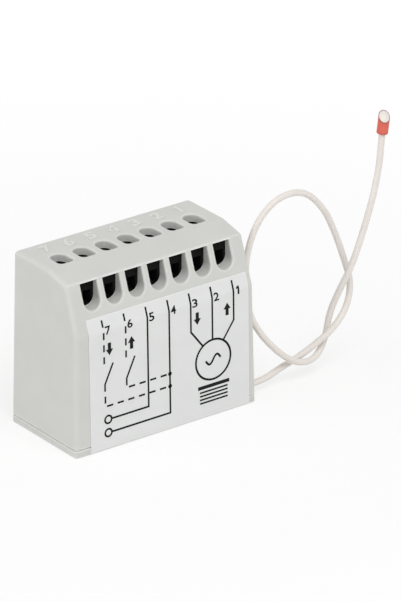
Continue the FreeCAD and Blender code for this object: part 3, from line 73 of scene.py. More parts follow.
camera_data = bpy.data.cameras.new("camera")
camera_data.lens = LENS
camera_data.sensor_width = SENSOR
camera = bpy.data.objects.new("camera", camera_data)
bpy.context.scene.collection.objects.link(camera)
towards_camera = Vector((math.sin(CAMERA_AZIMUTH) * math.cos(CAMERA_ELEVATION),
                         -math.cos(CAMERA_AZIMUTH) * math.cos(CAMERA_ELEVATION),
                         math.sin(CAMERA_ELEVATION)))
camera.location = LOOK_AT + towards_camera * CAMERA_DISTANCE
camera.rotation_mode = "QUATERNION"
camera.rotation_quaternion = (-towards_camera).to_track_quat("-Z", "Y")
camera_data.clip_start = 0.05
camera_data.clip_end = 20.0
bpy.context.scene.camera = camera
print("camera at", [round(c, 3) for c in camera.location])

# %% [markdown]
# ## The aerial wire
# A quarter wave of the radio's carrier is about 16 cm, and that is what this springy
# single wire measures. A tube could be swept as a mesh, but a cord is a fixed length of
# something flexible, and a curve keeps that: it is one smooth spline drawn along
# listed guide points, and its thickness is the curve's own bevel. It leaves the
# case square to its side, climbs, turns over in one loop and ends high up to the right.

# %% Draw the wire
WIRE_RADIUS = 0.625 * MM
ROUTE = [(20.6, -7.2, 2.1), (24.6, -7.1, 2.0), (28.9, -6.4, 2.9), (33.5, -6.2, 3.9),
         (37.2, -7.0, 6.0), (41.1, -7.5, 8.4), (45.0, -6.5, 11.4), (46.8, -5.3, 15.6),
         (45.6, -4.6, 20.4), (43.6, -4.3, 26.2), (41.0, -4.2, 31.8), (36.2, -4.2, 36.7),
         (30.1, -4.2, 36.9), (25.3, -4.2, 33.3), (22.7, -4.4, 27.6), (22.1, -4.7, 21.1),
         (22.6, -5.4, 15.2), (24.8, -6.4, 10.8), (28.0, -7.6, 6.8), (31.7, -8.1, 3.9),
         (36.5, -7.4, 2.9), (40.2, -6.0, 5.7), (41.7, -5.2, 10.5), (43.3, -6.3, 15.3),
         (45.4, -7.2, 19.9), (48.3, -6.7, 25.6), (51.2, -6.0, 31.8), (53.1, -5.5, 38.0),
         (53.7, -5.2, 42.9), (54.3, -5.2, 47.3)]

wire_line = bpy.data.curves.new("antenna_wire_skin", "CURVE")
wire_line.dimensions = "3D"
spline = wire_line.splines.new("NURBS")
spline.points.add(len(ROUTE) - 1)
for point, place in zip(spline.points, ROUTE):
    point.co = (*(Vector(place) * MM), 1.0)
    point.radius = WIRE_RADIUS
spline.order_u = 3
spline.use_endpoint_u = True
spline.resolution_u = 10
wire_line.bevel_depth = 1.0
wire_line.bevel_resolution = 5
wire_line.use_fill_caps = True
wire = bpy.data.objects.new("antenna_wire_skin", wire_line)
bpy.context.scene.collection.objects.link(wire)
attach(wire, "housing")
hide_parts("antenna_wire")
print("wire guide points:", len(ROUTE))

# %% [markdown]
# ## Helpers for surfaces
# New pieces are surfaces on a grid of points. Working out whole arrays at once is
# quicker to read than a loop over vertices. One helper makes the quads of a grid whose
# rows or columns may close on themselves, one joins several small shapes, and one turns
# them into a mesh and hands it to the body that carries it.

# %% Mesh helpers
def grid_quads(rows, columns, closed_rows=False, closed_columns=False):
    """Quads of a grid of points numbered row by row: each quad joins a point, its
    neighbour along the row, and the two points above them."""
    row = np.arange(rows if closed_rows else rows - 1)
    column = np.arange(columns if closed_columns else columns - 1)
    row, column = np.meshgrid(row, column, indexing="ij")
    above = (row + 1) % rows
    beside = (column + 1) % columns
    quads = [row * columns + column, row * columns + beside,
             above * columns + beside, above * columns + column]
    return np.stack([quad.ravel() for quad in quads], axis=1)


def combine(parts):
    """Put several (points, faces) pairs into one, shifting each part's face numbers."""
    points = []
    faces = []
    count = 0
    for part_points, part_faces in parts:
        points.append(part_points)
        faces.extend([[int(corner) + count for corner in face] for face in part_faces])
        count += len(part_points)
    return np.concatenate(points), faces


def new_piece(name, points, faces, body, material, smooth=False):
    """A mesh object at the origin that rides on a body of the construction model."""
    mesh = bpy.data.meshes.new(name)
    mesh.from_pydata(np.asarray(points, float).tolist(), [], [list(map(int, f)) for f in faces])
    mesh.polygons.foreach_set("use_smooth", np.full(len(mesh.polygons), smooth))
    mesh.update()
    piece = bpy.data.objects.new(name, mesh)
    bpy.context.scene.collection.objects.link(piece)
    mesh.materials.append(material)
    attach(piece, body)
    print(name, "points:", len(mesh.vertices), "faces:", len(mesh.polygons))
    return piece


# %% [markdown]
# ## Shared effects
# Moulded plastic is never one flat colour. Spark-eroded moulds leave a fine grain and the
# colour drifts a little. Sharp edges get a painted edge colour: a painted highlight where
# it is paler, a painted shade where it is darker. The nodes could be repeated in every
# material. Instead each effect is a node group with named inputs, built once, so that a
# change reaches every finish. A group only puts out masks and heights: the shader stays
# outside.

# %% Group helpers
def new_group(name, inputs, outputs):
    """An empty node group with float inputs (name, default) and float outputs."""
    group = bpy.data.node_groups.new(name, "ShaderNodeTree")
    for label, default in inputs:
        socket = group.interface.new_socket(label, in_out="INPUT", socket_type="NodeSocketFloat")
        socket.default_value = default
    for label in outputs:
        group.interface.new_socket(label, in_out="OUTPUT", socket_type="NodeSocketFloat")
    entry = group.nodes.new("NodeGroupInput")
    leave = group.nodes.new("NodeGroupOutput")
    return group, entry, leave


def noise(tree, place, scale, detail, roughness=0.5):
    """A noise texture on the given coordinates. Scale is a number or a socket."""
    texture = tree.nodes.new("ShaderNodeTexNoise")
    tree.links.new(place, texture.inputs["Vector"])
    if isinstance(scale, (int, float)):
        texture.inputs["Scale"].default_value = scale
    else:
        tree.links.new(scale, texture.inputs["Scale"])
    texture.inputs["Detail"].default_value = detail
    texture.inputs["Roughness"].default_value = roughness
    return texture.outputs["Fac"]


def calculate(tree, operation, first, second):
    """A Math node on two values, each of which is a number or a socket."""
    step = tree.nodes.new("ShaderNodeMath")
    step.operation = operation
    for socket, value in zip(step.inputs, (first, second)):
        if isinstance(value, (int, float)):
            socket.default_value = value
        else:
            tree.links.new(value, socket)
    return step.outputs[0]


def spread(tree, source, low, high, to_low=0.0, to_high=1.0):
    """Stretch the part of source between low and high over another range."""
    remap = tree.nodes.new("ShaderNodeMapRange")
    tree.links.new(source, remap.inputs["Value"])
    remap.inputs["From Min"].default_value = low
    remap.inputs["From Max"].default_value = high
    remap.inputs["To Min"].default_value = to_low
    remap.inputs["To Max"].default_value = to_high
    return remap.outputs["Result"]


# %% [markdown]
# The grain group gives the height of the mould's texture and a slow mottle for colour
# and gloss. Edges could be marked by hand, but the edge-shading group finds them on any
# shape, by comparing the true normal with one that is averaged over a small radius: on
# flat ground they agree, at an edge they part. Its mask says where the painted edge
# highlight and shade go.

# %% Grain and worn edges
EDGE_REACH = 0.45 * MM
FULL_EDGE_SHARE = 0.04


def grain_group():
    """Two noises. The scale of each is one over the size of its grains in metres."""
    group, entry, leave = new_group("moulded grain",
                                    [("Grain Size", 0.2 * MM), ("Mottle Size", 6 * MM)],
                                    ["Grain", "Mottle"])
    place = group.nodes.new("ShaderNodeTexCoord").outputs["Object"]
    fine = calculate(group, "DIVIDE", 1.0, entry.outputs["Grain Size"])
    slow = calculate(group, "DIVIDE", 1.0, entry.outputs["Mottle Size"])
    group.links.new(noise(group, place, fine, 3.0, 0.6), leave.inputs["Grain"])
    group.links.new(spread(group, noise(group, place, slow, 4.0), 0.3, 0.7), leave.inputs["Mottle"])
    return group


def edge_shading_group():
    """A mask for painted edge highlight and shade: one minus the cosine between the averaged
    normal and the true one, as a share of the value at which an edge counts in full."""
    group, entry, leave = new_group("painted edge shading", [("Full", FULL_EDGE_SHARE)], ["Edge"])
    softened = group.nodes.new("ShaderNodeBevel")
    softened.samples = 6
    softened.inputs["Radius"].default_value = EDGE_REACH
    true = group.nodes.new("ShaderNodeNewGeometry").outputs["Normal"]
    agree = group.nodes.new("ShaderNodeVectorMath")
    agree.operation = "DOT_PRODUCT"
    group.links.new(softened.outputs["Normal"], agree.inputs[0])
    group.links.new(true, agree.inputs[1])
    apart = calculate(group, "SUBTRACT", 1.0, agree.outputs["Value"])
    share = calculate(group, "DIVIDE", apart, entry.outputs["Full"])
    group.links.new(calculate(group, "MINIMUM", share, 1.0), leave.inputs["Edge"])
    return group


GRAIN = grain_group()
PAINTED_EDGE_MASK = edge_shading_group()
print("groups:", [group.name for group in bpy.data.node_groups])

# %% [markdown]
# The renderer works in linear light, and a colour could be written that way. A screen
# value from 0 to 255 is easier to judge by eye, so colours are written so and turned
# into linear light here.

# %% Colour and material helpers
def light(red, green, blue):
    """Linear colour from screen values: below 0.04045 the curve is a straight line, and
    above it a power of 2.4."""
    screen = np.array([red, green, blue], float) / 255.0
    linear = np.where(screen <= 0.04045, screen / 12.92, ((screen + 0.055) / 1.055) ** 2.4)
    return (*linear.tolist(), 1.0)


def new_material(name, roughness, metallic=0.0):
    """A material with its shader's plain sockets set. Returns its node tree and shader."""
    material = bpy.data.materials.new(name)
    material.use_nodes = True
    shader = material.node_tree.nodes["Principled BSDF"]
    shader.inputs["Roughness"].default_value = roughness
    shader.inputs["Metallic"].default_value = metallic
    return material, material.node_tree, shader


def place_group(tree, group, **values):
    """Place a node group with its own values. A value's name is its input's label in
    small letters. Returns the group's outputs."""
    node = tree.nodes.new("ShaderNodeGroup")
    node.node_tree = group
    for label, number in values.items():
        node.inputs[label.replace("_", " ").title()].default_value = number
    return node.outputs


def blend(tree, mask, first, second):
    """A colour that goes from first to second as the mask goes from 0 to 1."""
    mix = tree.nodes.new("ShaderNodeMix")
    mix.data_type = "RGBA"
    tree.links.new(mask, mix.inputs["Factor"])
    for socket, colour in ((mix.inputs[6], first), (mix.inputs[7], second)):
        if isinstance(colour, tuple):
            socket.default_value = colour
        else:
            tree.links.new(colour, socket)
    return mix.outputs[2]


def relief(tree, shader, height, depth):
    """Bump the surface by height, whose full range is depth metres."""
    bump = tree.nodes.new("ShaderNodeBump")
    bump.inputs["Strength"].default_value = 1.0
    bump.inputs["Distance"].default_value = depth
    tree.links.new(height, bump.inputs["Height"])
    tree.links.new(bump.outputs["Normal"], shader.inputs["Normal"])


# %% [markdown]
# ## Plastics
# The case is a satin off-white moulding. Black mouldings, chips, sleeves and lacquers
# could each have nodes of their own, but they differ only in colour, gloss and the size
# of their grain, so one recipe serves them all.

# %% The plastic recipe
def plastic(name, colour, second, painted_edge_colour, gloss, grain, depth, mottle=0.006, shine=0.5):
    """Moulded plastic: the colour drifts between two shades and turns to the painted edge
    colour on sharp edges, a painted highlight where it is paler and a painted shade where it
    is darker. Roughness drifts round 1 - gloss, and the grain bumps the surface. A dark
    pigment that drinks light gets less shine than the 0.5 of ordinary plastic."""
    material, tree, shader = new_material(name, 1.0 - gloss)
    shader.inputs["Specular IOR Level"].default_value = shine
    masks = place_group(tree, GRAIN, grain_size=grain, mottle_size=mottle)
    edge = place_group(tree, PAINTED_EDGE_MASK, full=FULL_EDGE_SHARE)["Edge"]
    drifting = blend(tree, masks["Mottle"], light(*colour), light(*second))
    # Sharp edges take the painted edge colour: painted highlight where it is paler, painted shade
    # where it is darker.
    tree.links.new(blend(tree, edge, drifting, light(*painted_edge_colour)), shader.inputs["Base Color"])
    rough = spread(tree, masks["Mottle"], 0.0, 1.0, 0.96 - gloss, 1.06 - gloss)
    tree.links.new(rough, shader.inputs["Roughness"])
    relief(tree, shader, masks["Grain"], depth)
    return material


MICRON = 0.001 * MM
# The third colour of each plastic is its painted edge colour. On the case, its cover and the parts
# inside it is paler: a painted highlight along rims and edges. The wire's equals its own colour, so
# it paints nothing.
finishes = {
    "housing_plastic": plastic("housing plastic", (207, 208, 203), (204, 205, 200),
                               (232, 233, 229), 0.50, 0.16 * MM, 5 * MICRON),
    "base_plastic": plastic("base plastic", (205, 206, 201), (202, 203, 198),
                            (226, 227, 222), 0.50, 0.16 * MM, 5 * MICRON),
    "black_plastic": plastic("black plastic", (29, 29, 28), (26, 26, 25),
                             (34, 34, 33), 0.30, 0.12 * MM, 4 * MICRON, 0.003, 0.04),
    "relay_plastic": plastic("relay case", (22, 48, 92), (18, 42, 84),
                             (60, 84, 124), 0.60, 0.12 * MM, 3 * MICRON, 0.004),
    "capacitor_plastic": plastic("capacitor case", (214, 172, 62), (206, 163, 55),
                                 (228, 192, 92), 0.55, 0.14 * MM, 3 * MICRON, 0.004),
    "can_sleeve": plastic("can sleeve", (26, 30, 52), (22, 25, 46),
                          (52, 56, 78), 0.70, 0.3 * MM, 2 * MICRON, 0.003),
    "disc_coating": plastic("varistor coating", (38, 84, 158), (32, 74, 146),
                            (70, 112, 178), 0.62, 0.5 * MM, 14 * MICRON, 0.002),
    "resistor_coating": plastic("resistor lacquer", (118, 158, 164), (108, 148, 156),
                                (140, 176, 180), 0.6, 0.4 * MM, 8 * MICRON, 0.001),
    "ferrite": plastic("ferrite", (62, 60, 58), (52, 50, 49),
                       (84, 82, 80), 0.4, 0.08 * MM, 8 * MICRON, 0.002),
    "chip_plastic": plastic("chip epoxy", (34, 34, 35), (29, 29, 30),
                            (58, 58, 58), 0.38, 0.06 * MM, 5 * MICRON, 0.002),
    "button_plastic": plastic("button plastic", (120, 122, 120), (114, 116, 114),
                              (144, 146, 144), 0.55, 0.12 * MM, 4 * MICRON, 0.002),
    "wire_insulation": plastic("wire insulation", (232, 226, 220), (228, 222, 215),
                               (232, 226, 220), 0.50, 1.2 * MM, 1 * MICRON, 0.006),
    # The sleeve's edge colour is darker: a painted shade round its mouth and its foot.
    "tip_sleeve": plastic("tip sleeve", (226, 108, 88), (220, 98, 80),
                          (142, 84, 78), 0.45, 0.5 * MM, 4 * MICRON, 0.0015),
}
print("plastics:", len(finishes))

# %% [markdown]
# The sticker is a vinyl film with a matt laminate. It is whiter and a little cooler
# than the case, and its surface has a very shallow orange peel. The ink is a plastic
# too, a thin one, so both come from the same recipe.

# %% The sticker film and its ink
# The third colour of the film and of the ink is a painted highlight on their edges.
finishes["label_film"] = plastic("label film", (226, 227, 226), (222, 223, 222),
                                 (230, 231, 230), 0.56, 0.6 * MM, 2 * MICRON, 0.008)
ink = plastic("label ink", (27, 28, 27), (31, 32, 31), (29, 30, 29), 0.3, 0.3 * MM, 2 * MICRON,
              0.003, 0.12)
print("sticker:", finishes["label_film"].name, "and", ink.name)

# %% [markdown]
# ## Metals
# Plated parts are bright but never mirrors: barrel plating leaves a satin skin, and
# handling leaves duller patches. An image of scratches would repeat itself. The recipe
# stretches a noise along one axis instead, for the drawing marks of strip and wire.

# %% The metal recipe
STREAKS_PER_METRE = 6000.0
ALONG_STREAK = 0.06


def plated(name, bright, dull, roughness, streak_axis):
    """Plated metal: colour and roughness follow streaks along one axis and slow patches."""
    material, tree, shader = new_material(name, roughness, metallic=1.0)
    place = tree.nodes.new("ShaderNodeTexCoord").outputs["Object"]
    squeeze = tree.nodes.new("ShaderNodeMapping")
    stretch = [ALONG_STREAK if axis == streak_axis else 1.0 for axis in range(3)]
    squeeze.inputs["Scale"].default_value = stretch
    tree.links.new(place, squeeze.inputs["Vector"])
    streaks = noise(tree, squeeze.outputs["Vector"], STREAKS_PER_METRE, 3.0, 0.6)
    masks = place_group(tree, GRAIN, grain_size=0.1 * MM, mottle_size=1.2 * MM)
    tree.links.new(blend(tree, masks["Mottle"], light(*bright), light(*dull)),
                   shader.inputs["Base Color"])
    rough = spread(tree, streaks, 0.3, 0.7, roughness - 0.07, roughness + 0.1)
    tree.links.new(rough, shader.inputs["Roughness"])
    relief(tree, shader, streaks, 2 * MICRON)
    return material


finishes["plated_steel"] = plated("zinc-plated steel", (206, 206, 202), (184, 184, 180), 0.32, 0)
finishes["plated_brass"] = plated("nickel-plated brass", (218, 206, 174), (196, 182, 146), 0.3, 1)
finishes["plated_iron"] = plated("nickel-plated iron", (196, 196, 192), (172, 172, 168), 0.34, 2)
print("finishes:", len(finishes))

# %% [markdown]
# ## Board, winding and lamp
# The board is green solder mask over copper, which shows as paler, slightly raised
# areas with narrow gaps between them. Drawing each track would be a job of its own for
# a board that the case hides, so angular cells stand for the copper. The winding is
# enamelled wire. Its turns could be a coil of thousands of faces, but each is thinner
# than a hair, so they are only a ribbing of the surface. The light pipe is milky clear
# plastic.

# %% Board, winding and clear plastic
CELLS_PER_METRE = 420.0
COPPER_DEPTH = 30 * MICRON
TURNS_PER_METRE = 3200.0
TURN_DEPTH = 30 * MICRON


def solder_mask():
    """Green lacquer: the inside of each cell is copper, and its edge a gap."""
    material, tree, shader = new_material("solder mask", 0.35)
    place = tree.nodes.new("ShaderNodeTexCoord").outputs["Object"]
    cells = tree.nodes.new("ShaderNodeTexVoronoi")
    cells.distance = "MANHATTAN"
    cells.feature = "DISTANCE_TO_EDGE"
    cells.inputs["Scale"].default_value = CELLS_PER_METRE
    tree.links.new(place, cells.inputs["Vector"])
    copper = spread(tree, cells.outputs["Distance"], 0.08, 0.11)
    masks = place_group(tree, GRAIN, grain_size=0.3 * MM, mottle_size=4 * MM)
    base = blend(tree, masks["Mottle"], light(18, 84, 48), light(14, 74, 42))
    tree.links.new(blend(tree, copper, base, light(30, 108, 60)), shader.inputs["Base Color"])
    rough = spread(tree, masks["Mottle"], 0.0, 1.0, 0.3, 0.4)
    tree.links.new(rough, shader.inputs["Roughness"])
    relief(tree, shader, copper, COPPER_DEPTH)
    return material


def winding():
    """Enamelled wire: bands along one axis give each turn a painted highlight on its crown
    and a painted shade in its hollow."""
    material, tree, shader = new_material("copper winding", 0.3, metallic=1.0)
    place = tree.nodes.new("ShaderNodeTexCoord").outputs["Object"]
    turns = tree.nodes.new("ShaderNodeTexWave")
    turns.wave_type = "BANDS"
    turns.bands_direction = "Y"
    turns.inputs["Scale"].default_value = TURNS_PER_METRE
    turns.inputs["Distortion"].default_value = 0.4
    tree.links.new(place, turns.inputs["Vector"])
    # The two band colours are painted light: a highlight on each crown, a shade in each hollow.
    shade = blend(tree, turns.outputs["Fac"], light(150, 72, 34), light(206, 118, 62))
    tree.links.new(shade, shader.inputs["Base Color"])
    rough = spread(tree, turns.outputs["Fac"], 0.0, 1.0, 0.42, 0.26)
    tree.links.new(rough, shader.inputs["Roughness"])
    relief(tree, shader, turns.outputs["Fac"], TURN_DEPTH)
    return material


def milky_clear():
    """Clear plastic with a milky tint, which lets part of the light through."""
    material, tree, shader = new_material("milky clear plastic", 0.28)
    shader.inputs["Transmission Weight"].default_value = 0.35
    shader.inputs["IOR"].default_value = 1.49
    masks = place_group(tree, GRAIN, grain_size=0.2 * MM, mottle_size=1 * MM)
    tree.links.new(blend(tree, masks["Mottle"], light(226, 228, 224), light(214, 217, 214)),
                   shader.inputs["Base Color"])
    rough = spread(tree, masks["Grain"], 0.3, 0.7, 0.22, 0.34)
    tree.links.new(rough, shader.inputs["Roughness"])
    return material


finishes["board_green"] = solder_mask()
finishes["coil_copper"] = winding()
finishes["lamp_clear"] = milky_clear()
print("finishes with board, winding and lamp:", len(finishes))

# %% [markdown]
# ## Dressing the solids
# Each solid came in with a material that only has the name of its finish. The solids
# could be dressed one by one. Instead the finish of that name takes its place, so a
# piece that is added to the construction model later needs no line of its own here.

# %% Give every solid its finish
for node in nodes.values():
    for place in node.material_slots:
        place.material = finishes[place.material.name]
wire_line.materials.append(finishes["wire_insulation"])
print("dressed solids:", len(nodes))

# %% [markdown]
# ## The wire's end
# The coloured sleeve on the wire's end has a slanted mouth, and the cream insulation
# fills it with a low dome. A squashed sphere would not follow the slant. The dome is a
# set of rings instead: each is a circle about the wire, slid along the wire onto the
# plane of the mouth, then lifted off that plane by one minus the square of its share of
# the full radius. The circles turn clockwise as seen from the tip, because the grid's
# faces then point outwards.

# %% Fill the sleeve's mouth
MOUTH_FACES = np.array([-0.19, -0.59, 0.785])
MOUTH_RADIUS = 1.02 * MM
DOME_HEIGHT = 0.5 * MM
DOME_RINGS = 9
DOME_SPOKES = 40
mouth = np.array(ROUTE[-1]) * MM
heading = np.array(ROUTE[-1]) - np.array(ROUTE[-2])
heading = heading / np.linalg.norm(heading)
outward = MOUTH_FACES / np.linalg.norm(MOUTH_FACES)
sideways = np.cross(heading, outward)
sideways = sideways / np.linalg.norm(sideways)
frontways = np.cross(sideways, heading)
share = np.linspace(0.0, 1.0, DOME_RINGS + 1)[1:, None, None]
turn = np.linspace(0.0, 2.0 * math.pi, DOME_SPOKES, endpoint=False)[None, :, None]
circle = MOUTH_RADIUS * share * (np.cos(turn) * sideways + np.sin(turn) * frontways)
onto_mouth = -(circle @ outward)[..., None] / (heading @ outward) * heading
dome = mouth + circle + onto_mouth + DOME_HEIGHT * (1.0 - share ** 2) * outward
dome_faces = grid_quads(DOME_RINGS, DOME_SPOKES, closed_columns=True).tolist()
outer_ring = range((DOME_RINGS - 1) * DOME_SPOKES, DOME_RINGS * DOME_SPOKES)
dome_faces += [list(range(DOME_SPOKES))[::-1], list(outer_ring)]
wire_end = new_piece("wire_end", dome.reshape(-1, 3), dome_faces, "housing",
                     finishes["wire_insulation"], smooth=True)

# %% [markdown]
# ## The sticker's print
# The sticker is one sheet bent over the lower fold. Its print could be a picture, but
# drawn as shapes it stays sharp at any distance. It is laid out flat, in millimetres
# across and up the sheet, and then carried onto the bend. The sheet runs straight up
# the leaning front, round an arc of the fold's radius, and straight up the second face.
# Ink stands about two hundredths of a millimetre proud, as screen ink does.

# %% Carry flat print onto the bent sheet
label_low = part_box("wiring_label")[0]
FOLD_HEIGHT = 23.8 * MM
FOLD_LEAN = 0.42 * MM
FOLD_RADIUS = 2.0 * MM
NOSE_RISE = 9.29 * MM
NOSE_DEPTH = 3.22 * MM
fold_y = label_low.y + FOLD_LEAN * (1.0 - label_low.z / FOLD_HEIGHT)
lower_run = np.array([FOLD_LEAN, FOLD_HEIGHT]) / math.hypot(FOLD_LEAN, FOLD_HEIGHT)
upper_run = np.array([NOSE_DEPTH, NOSE_RISE]) / math.hypot(NOSE_DEPTH, NOSE_RISE)
fold_turn = math.acos(float(lower_run @ upper_run))
fold_start = math.hypot(FOLD_LEAN, FOLD_HEIGHT) - FOLD_RADIUS * math.tan(fold_turn / 2)
fold_length = FOLD_RADIUS * fold_turn


def on_sheet(flat, lift):
    """Points of the bent sheet. flat holds places across and up the flat sheet, and lift
    how far each stands off it. Up to the fold a point goes along the lower run. Inside
    the fold it goes round the bend's centre by its own share of the turn, and beyond it
    goes on along the upper run from where the bend ends."""
    across, up = np.asarray(flat, float).T
    angle = np.clip((up - fold_start) / FOLD_RADIUS, 0.0, fold_turn)
    lean = math.atan2(lower_run[0], lower_run[1])
    outward = np.stack([-np.cos(lean + angle), np.sin(lean + angle)], axis=1)
    corner = np.array([fold_y, FOLD_HEIGHT])
    outward_low = np.array([-math.cos(lean), math.sin(lean)])
    start = corner - lower_run * (math.hypot(FOLD_LEAN, FOLD_HEIGHT) - fold_start)
    hub = start - outward_low * FOLD_RADIUS
    before = np.minimum(up - fold_start, 0.0)[:, None] * lower_run
    beyond = np.maximum(up - fold_start - fold_length, 0.0)[:, None] * upper_run
    profile = hub + outward * (FOLD_RADIUS + np.asarray(lift)[..., None]) + before + beyond
    return np.column_stack([across, profile])


print("fold turns by", round(math.degrees(fold_turn), 1), "degrees")

# %% [markdown]
# A printed line is a thin ribbon. Separate bars would overlap or gape at the corners,
# so a flat rectangle is carried along the whole path, with mitred corners that keep its
# width. A filled shape is a flat outline with the same thickness.

# %% Strokes and filled shapes
INK_FOOT = -0.01 * MM
INK_TOP = 0.018 * MM
LONGEST_RUN = 0.4


def finely(points):
    """A path with extra points, so that no run is longer than LONGEST_RUN."""
    points = np.asarray(points, float)
    runs = np.linalg.norm(np.diff(points, axis=0), axis=1)
    counts = np.maximum(np.ceil(runs / LONGEST_RUN).astype(int), 1)
    pieces = [np.linspace(a, b, n, endpoint=False) for a, b, n in zip(points, points[1:], counts)]
    return np.concatenate([*pieces, points[-1:]])


def stroke(points, width, closed=False):
    """A ribbon along a path in millimetres. An open path gets extra points, so that it
    can follow the fold. Each corner's edge points lie along the mitre, which is the mean
    of the normals before and after it, lengthened by one over the cosine of half the
    turn."""
    path = np.asarray(points, float) if closed else finely(points)
    if closed:
        ahead = np.roll(path, -1, axis=0) - path
        behind = path - np.roll(path, 1, axis=0)
    else:
        ahead = np.vstack([np.diff(path, axis=0), path[-1:] - path[-2:-1]])
        behind = np.vstack([ahead[:1], ahead[:-1]])
    ahead = ahead / np.linalg.norm(ahead, axis=1, keepdims=True)
    behind = behind / np.linalg.norm(behind, axis=1, keepdims=True)
    mitre = np.column_stack([-(ahead + behind)[:, 1], (ahead + behind)[:, 0]])
    mitre = mitre / np.sum(mitre * np.column_stack([-ahead[:, 1], ahead[:, 0]]), axis=1)[:, None]
    left = path + mitre * width / 2
    right = path - mitre * width / 2
    flat = np.stack([left, left, right, right], axis=1).reshape(-1, 2) * MM
    lift = np.tile([INK_FOOT, INK_TOP, INK_TOP, INK_FOOT], len(path))
    faces = grid_quads(len(path), 4, closed_rows=closed, closed_columns=True).tolist()
    if not closed:
        last = 4 * (len(path) - 1)
        faces += [[3, 2, 1, 0], [last, last + 1, last + 2, last + 3]]
    return on_sheet(flat, lift), faces


def filled(outline):
    """A flat shape with an outline in millimetres, listed anticlockwise."""
    outline = np.asarray(outline, float) * MM
    count = len(outline)
    flat = np.vstack([outline, outline])
    lift = np.repeat([INK_FOOT, INK_TOP], count)
    sides = grid_quads(2, count, closed_columns=True).tolist()
    top = list(range(count, 2 * count))
    foot = list(range(count))[::-1]
    return on_sheet(flat, lift), sides + [top, foot]


def round_outline(middle, radius, count=40):
    """A circle: the middle plus radius times the cosine and sine of a full turn."""
    turn = np.linspace(0.0, 2.0 * math.pi, count, endpoint=False)
    return np.array(middle) + radius * np.column_stack([np.cos(turn), np.sin(turn)])


# %% [markdown]
# Seven lines come down from the seven terminals. Two are dashed and end at the two
# wall-switch arms, two go round to the supply, and three reach the motor, drawn as a
# circle. Rings mark the supply ends, a wave marks the motor and a small slatted blind
# fills the corner.

# %% Print the wiring diagram
LINE = 0.375
BOLD_LINE = 0.42
LINE_TOP = 25.88
DASH = 1.4
DASH_STEP = 2.4
SHORTEST_DASH = 0.3
DASHED_END = 17.3
line_x = [-14.03 + 4.915 * index for index in range(7)]
NEUTRAL_UP, LIVE_UP = 6.08, 3.42
RING_X, RING_RADIUS = -13.35, 0.75
SUPPLY_END = RING_X + RING_RADIUS
MOTOR, MOTOR_RADIUS = (10.65, 11.44), 3.98
SWITCH_LINE_UP = (8.77, 11.27)


def dashes(start, end):
    """Short strokes along a straight line, one every DASH_STEP. The last is cut short at
    the line's end."""
    start, end = np.array(start), np.array(end)
    whole = np.linalg.norm(end - start)
    along = (end - start) / whole
    places = np.arange(0.0, whole - SHORTEST_DASH, DASH_STEP)
    return [stroke([start + along * a, start + along * min(a + DASH, whole)], LINE) for a in places]


print_parts = dashes((line_x[0], LINE_TOP), (line_x[0], DASHED_END))
print_parts += dashes((line_x[1], LINE_TOP), (line_x[1], DASHED_END))
for x, up in ((line_x[2], NEUTRAL_UP), (line_x[3], LIVE_UP)):
    print_parts.append(stroke([(x, LINE_TOP), (x, up), (SUPPLY_END, up)], LINE))
print_parts.append(stroke([(line_x[4], LINE_TOP), (line_x[4], 18.2), (8.3, 14.72)], LINE))
print_parts.append(stroke([(line_x[5], LINE_TOP), (line_x[5], MOTOR[1] + MOTOR_RADIUS)], LINE))
print_parts.append(stroke([(line_x[6], LINE_TOP), (line_x[6], 18.1), (13.02, 14.72)], LINE))
print_parts.append(stroke(round_outline(MOTOR, MOTOR_RADIUS, 72), BOLD_LINE, closed=True))
for up in (NEUTRAL_UP, LIVE_UP):
    print_parts.append(stroke(round_outline((RING_X, up), RING_RADIUS), LINE, closed=True))
print("lines, dashes and rings:", len(print_parts))

# %% [markdown]
# The two wall switches are drawn open, each with a slanted arm. Dashes join their lower
# ends to the live line, where a dot marks each joint. Block arrows tell which terminal
# raises the shade and which lowers it. An arrow could be an outline turned by an angle,
# but it only ever points up or down, so the outline is turned round by its signs.

# %% Print the switch arms, joints and arrows
JOINT_RADIUS = 0.42
print_parts.append(stroke([(-12.05, 17.1), (-13.95, 13.2), (-13.95, 11.8)], LINE))
print_parts.append(stroke([(-7.15, 17.1), (-9.07, 13.1), (-9.07, 11.7)], LINE))
print_parts += dashes((-13.93, 10.8), (-13.93, 9.4))
print_parts += dashes((-13.6, SWITCH_LINE_UP[0]), (line_x[3], SWITCH_LINE_UP[0]))
print_parts += dashes((-8.6, SWITCH_LINE_UP[1]), (line_x[3], SWITCH_LINE_UP[1]))
for up in SWITCH_LINE_UP:
    print_parts.append(filled(round_outline((line_x[3], up), JOINT_RADIUS, 24)))


def arrow(middle, up, points_up):
    """A block arrow 2.5 mm long: a shaft with a triangular head."""
    half_length, half_shaft, half_head, head = 1.25, 0.36, 0.8, 1.22
    tip, shoulder, tail = half_length, half_length - head, -half_length
    outline = np.array([(-half_shaft, tail), (half_shaft, tail), (half_shaft, shoulder),
                        (half_head, shoulder), (0.0, tip), (-half_head, shoulder),
                        (-half_shaft, shoulder)])
    if not points_up:
        outline = outline * (-1.0, -1.0)
    return filled(outline + (middle, up))


for middle, up, points_up in ((-12.8, 20.0, False), (-7.85, 19.95, True),
                              (7.1, 20.55, False), (13.95, 20.65, True)):
    print_parts.append(arrow(middle, up, points_up))
print("with switches and arrows:", len(print_parts))

# %% [markdown]
# One period of a sine stands in the motor's circle for its alternating supply. It could
# be drawn by eye with two arcs, but a sine is one line of numpy. Below it a thick bar
# with four thin ones is the shade that the motor turns.

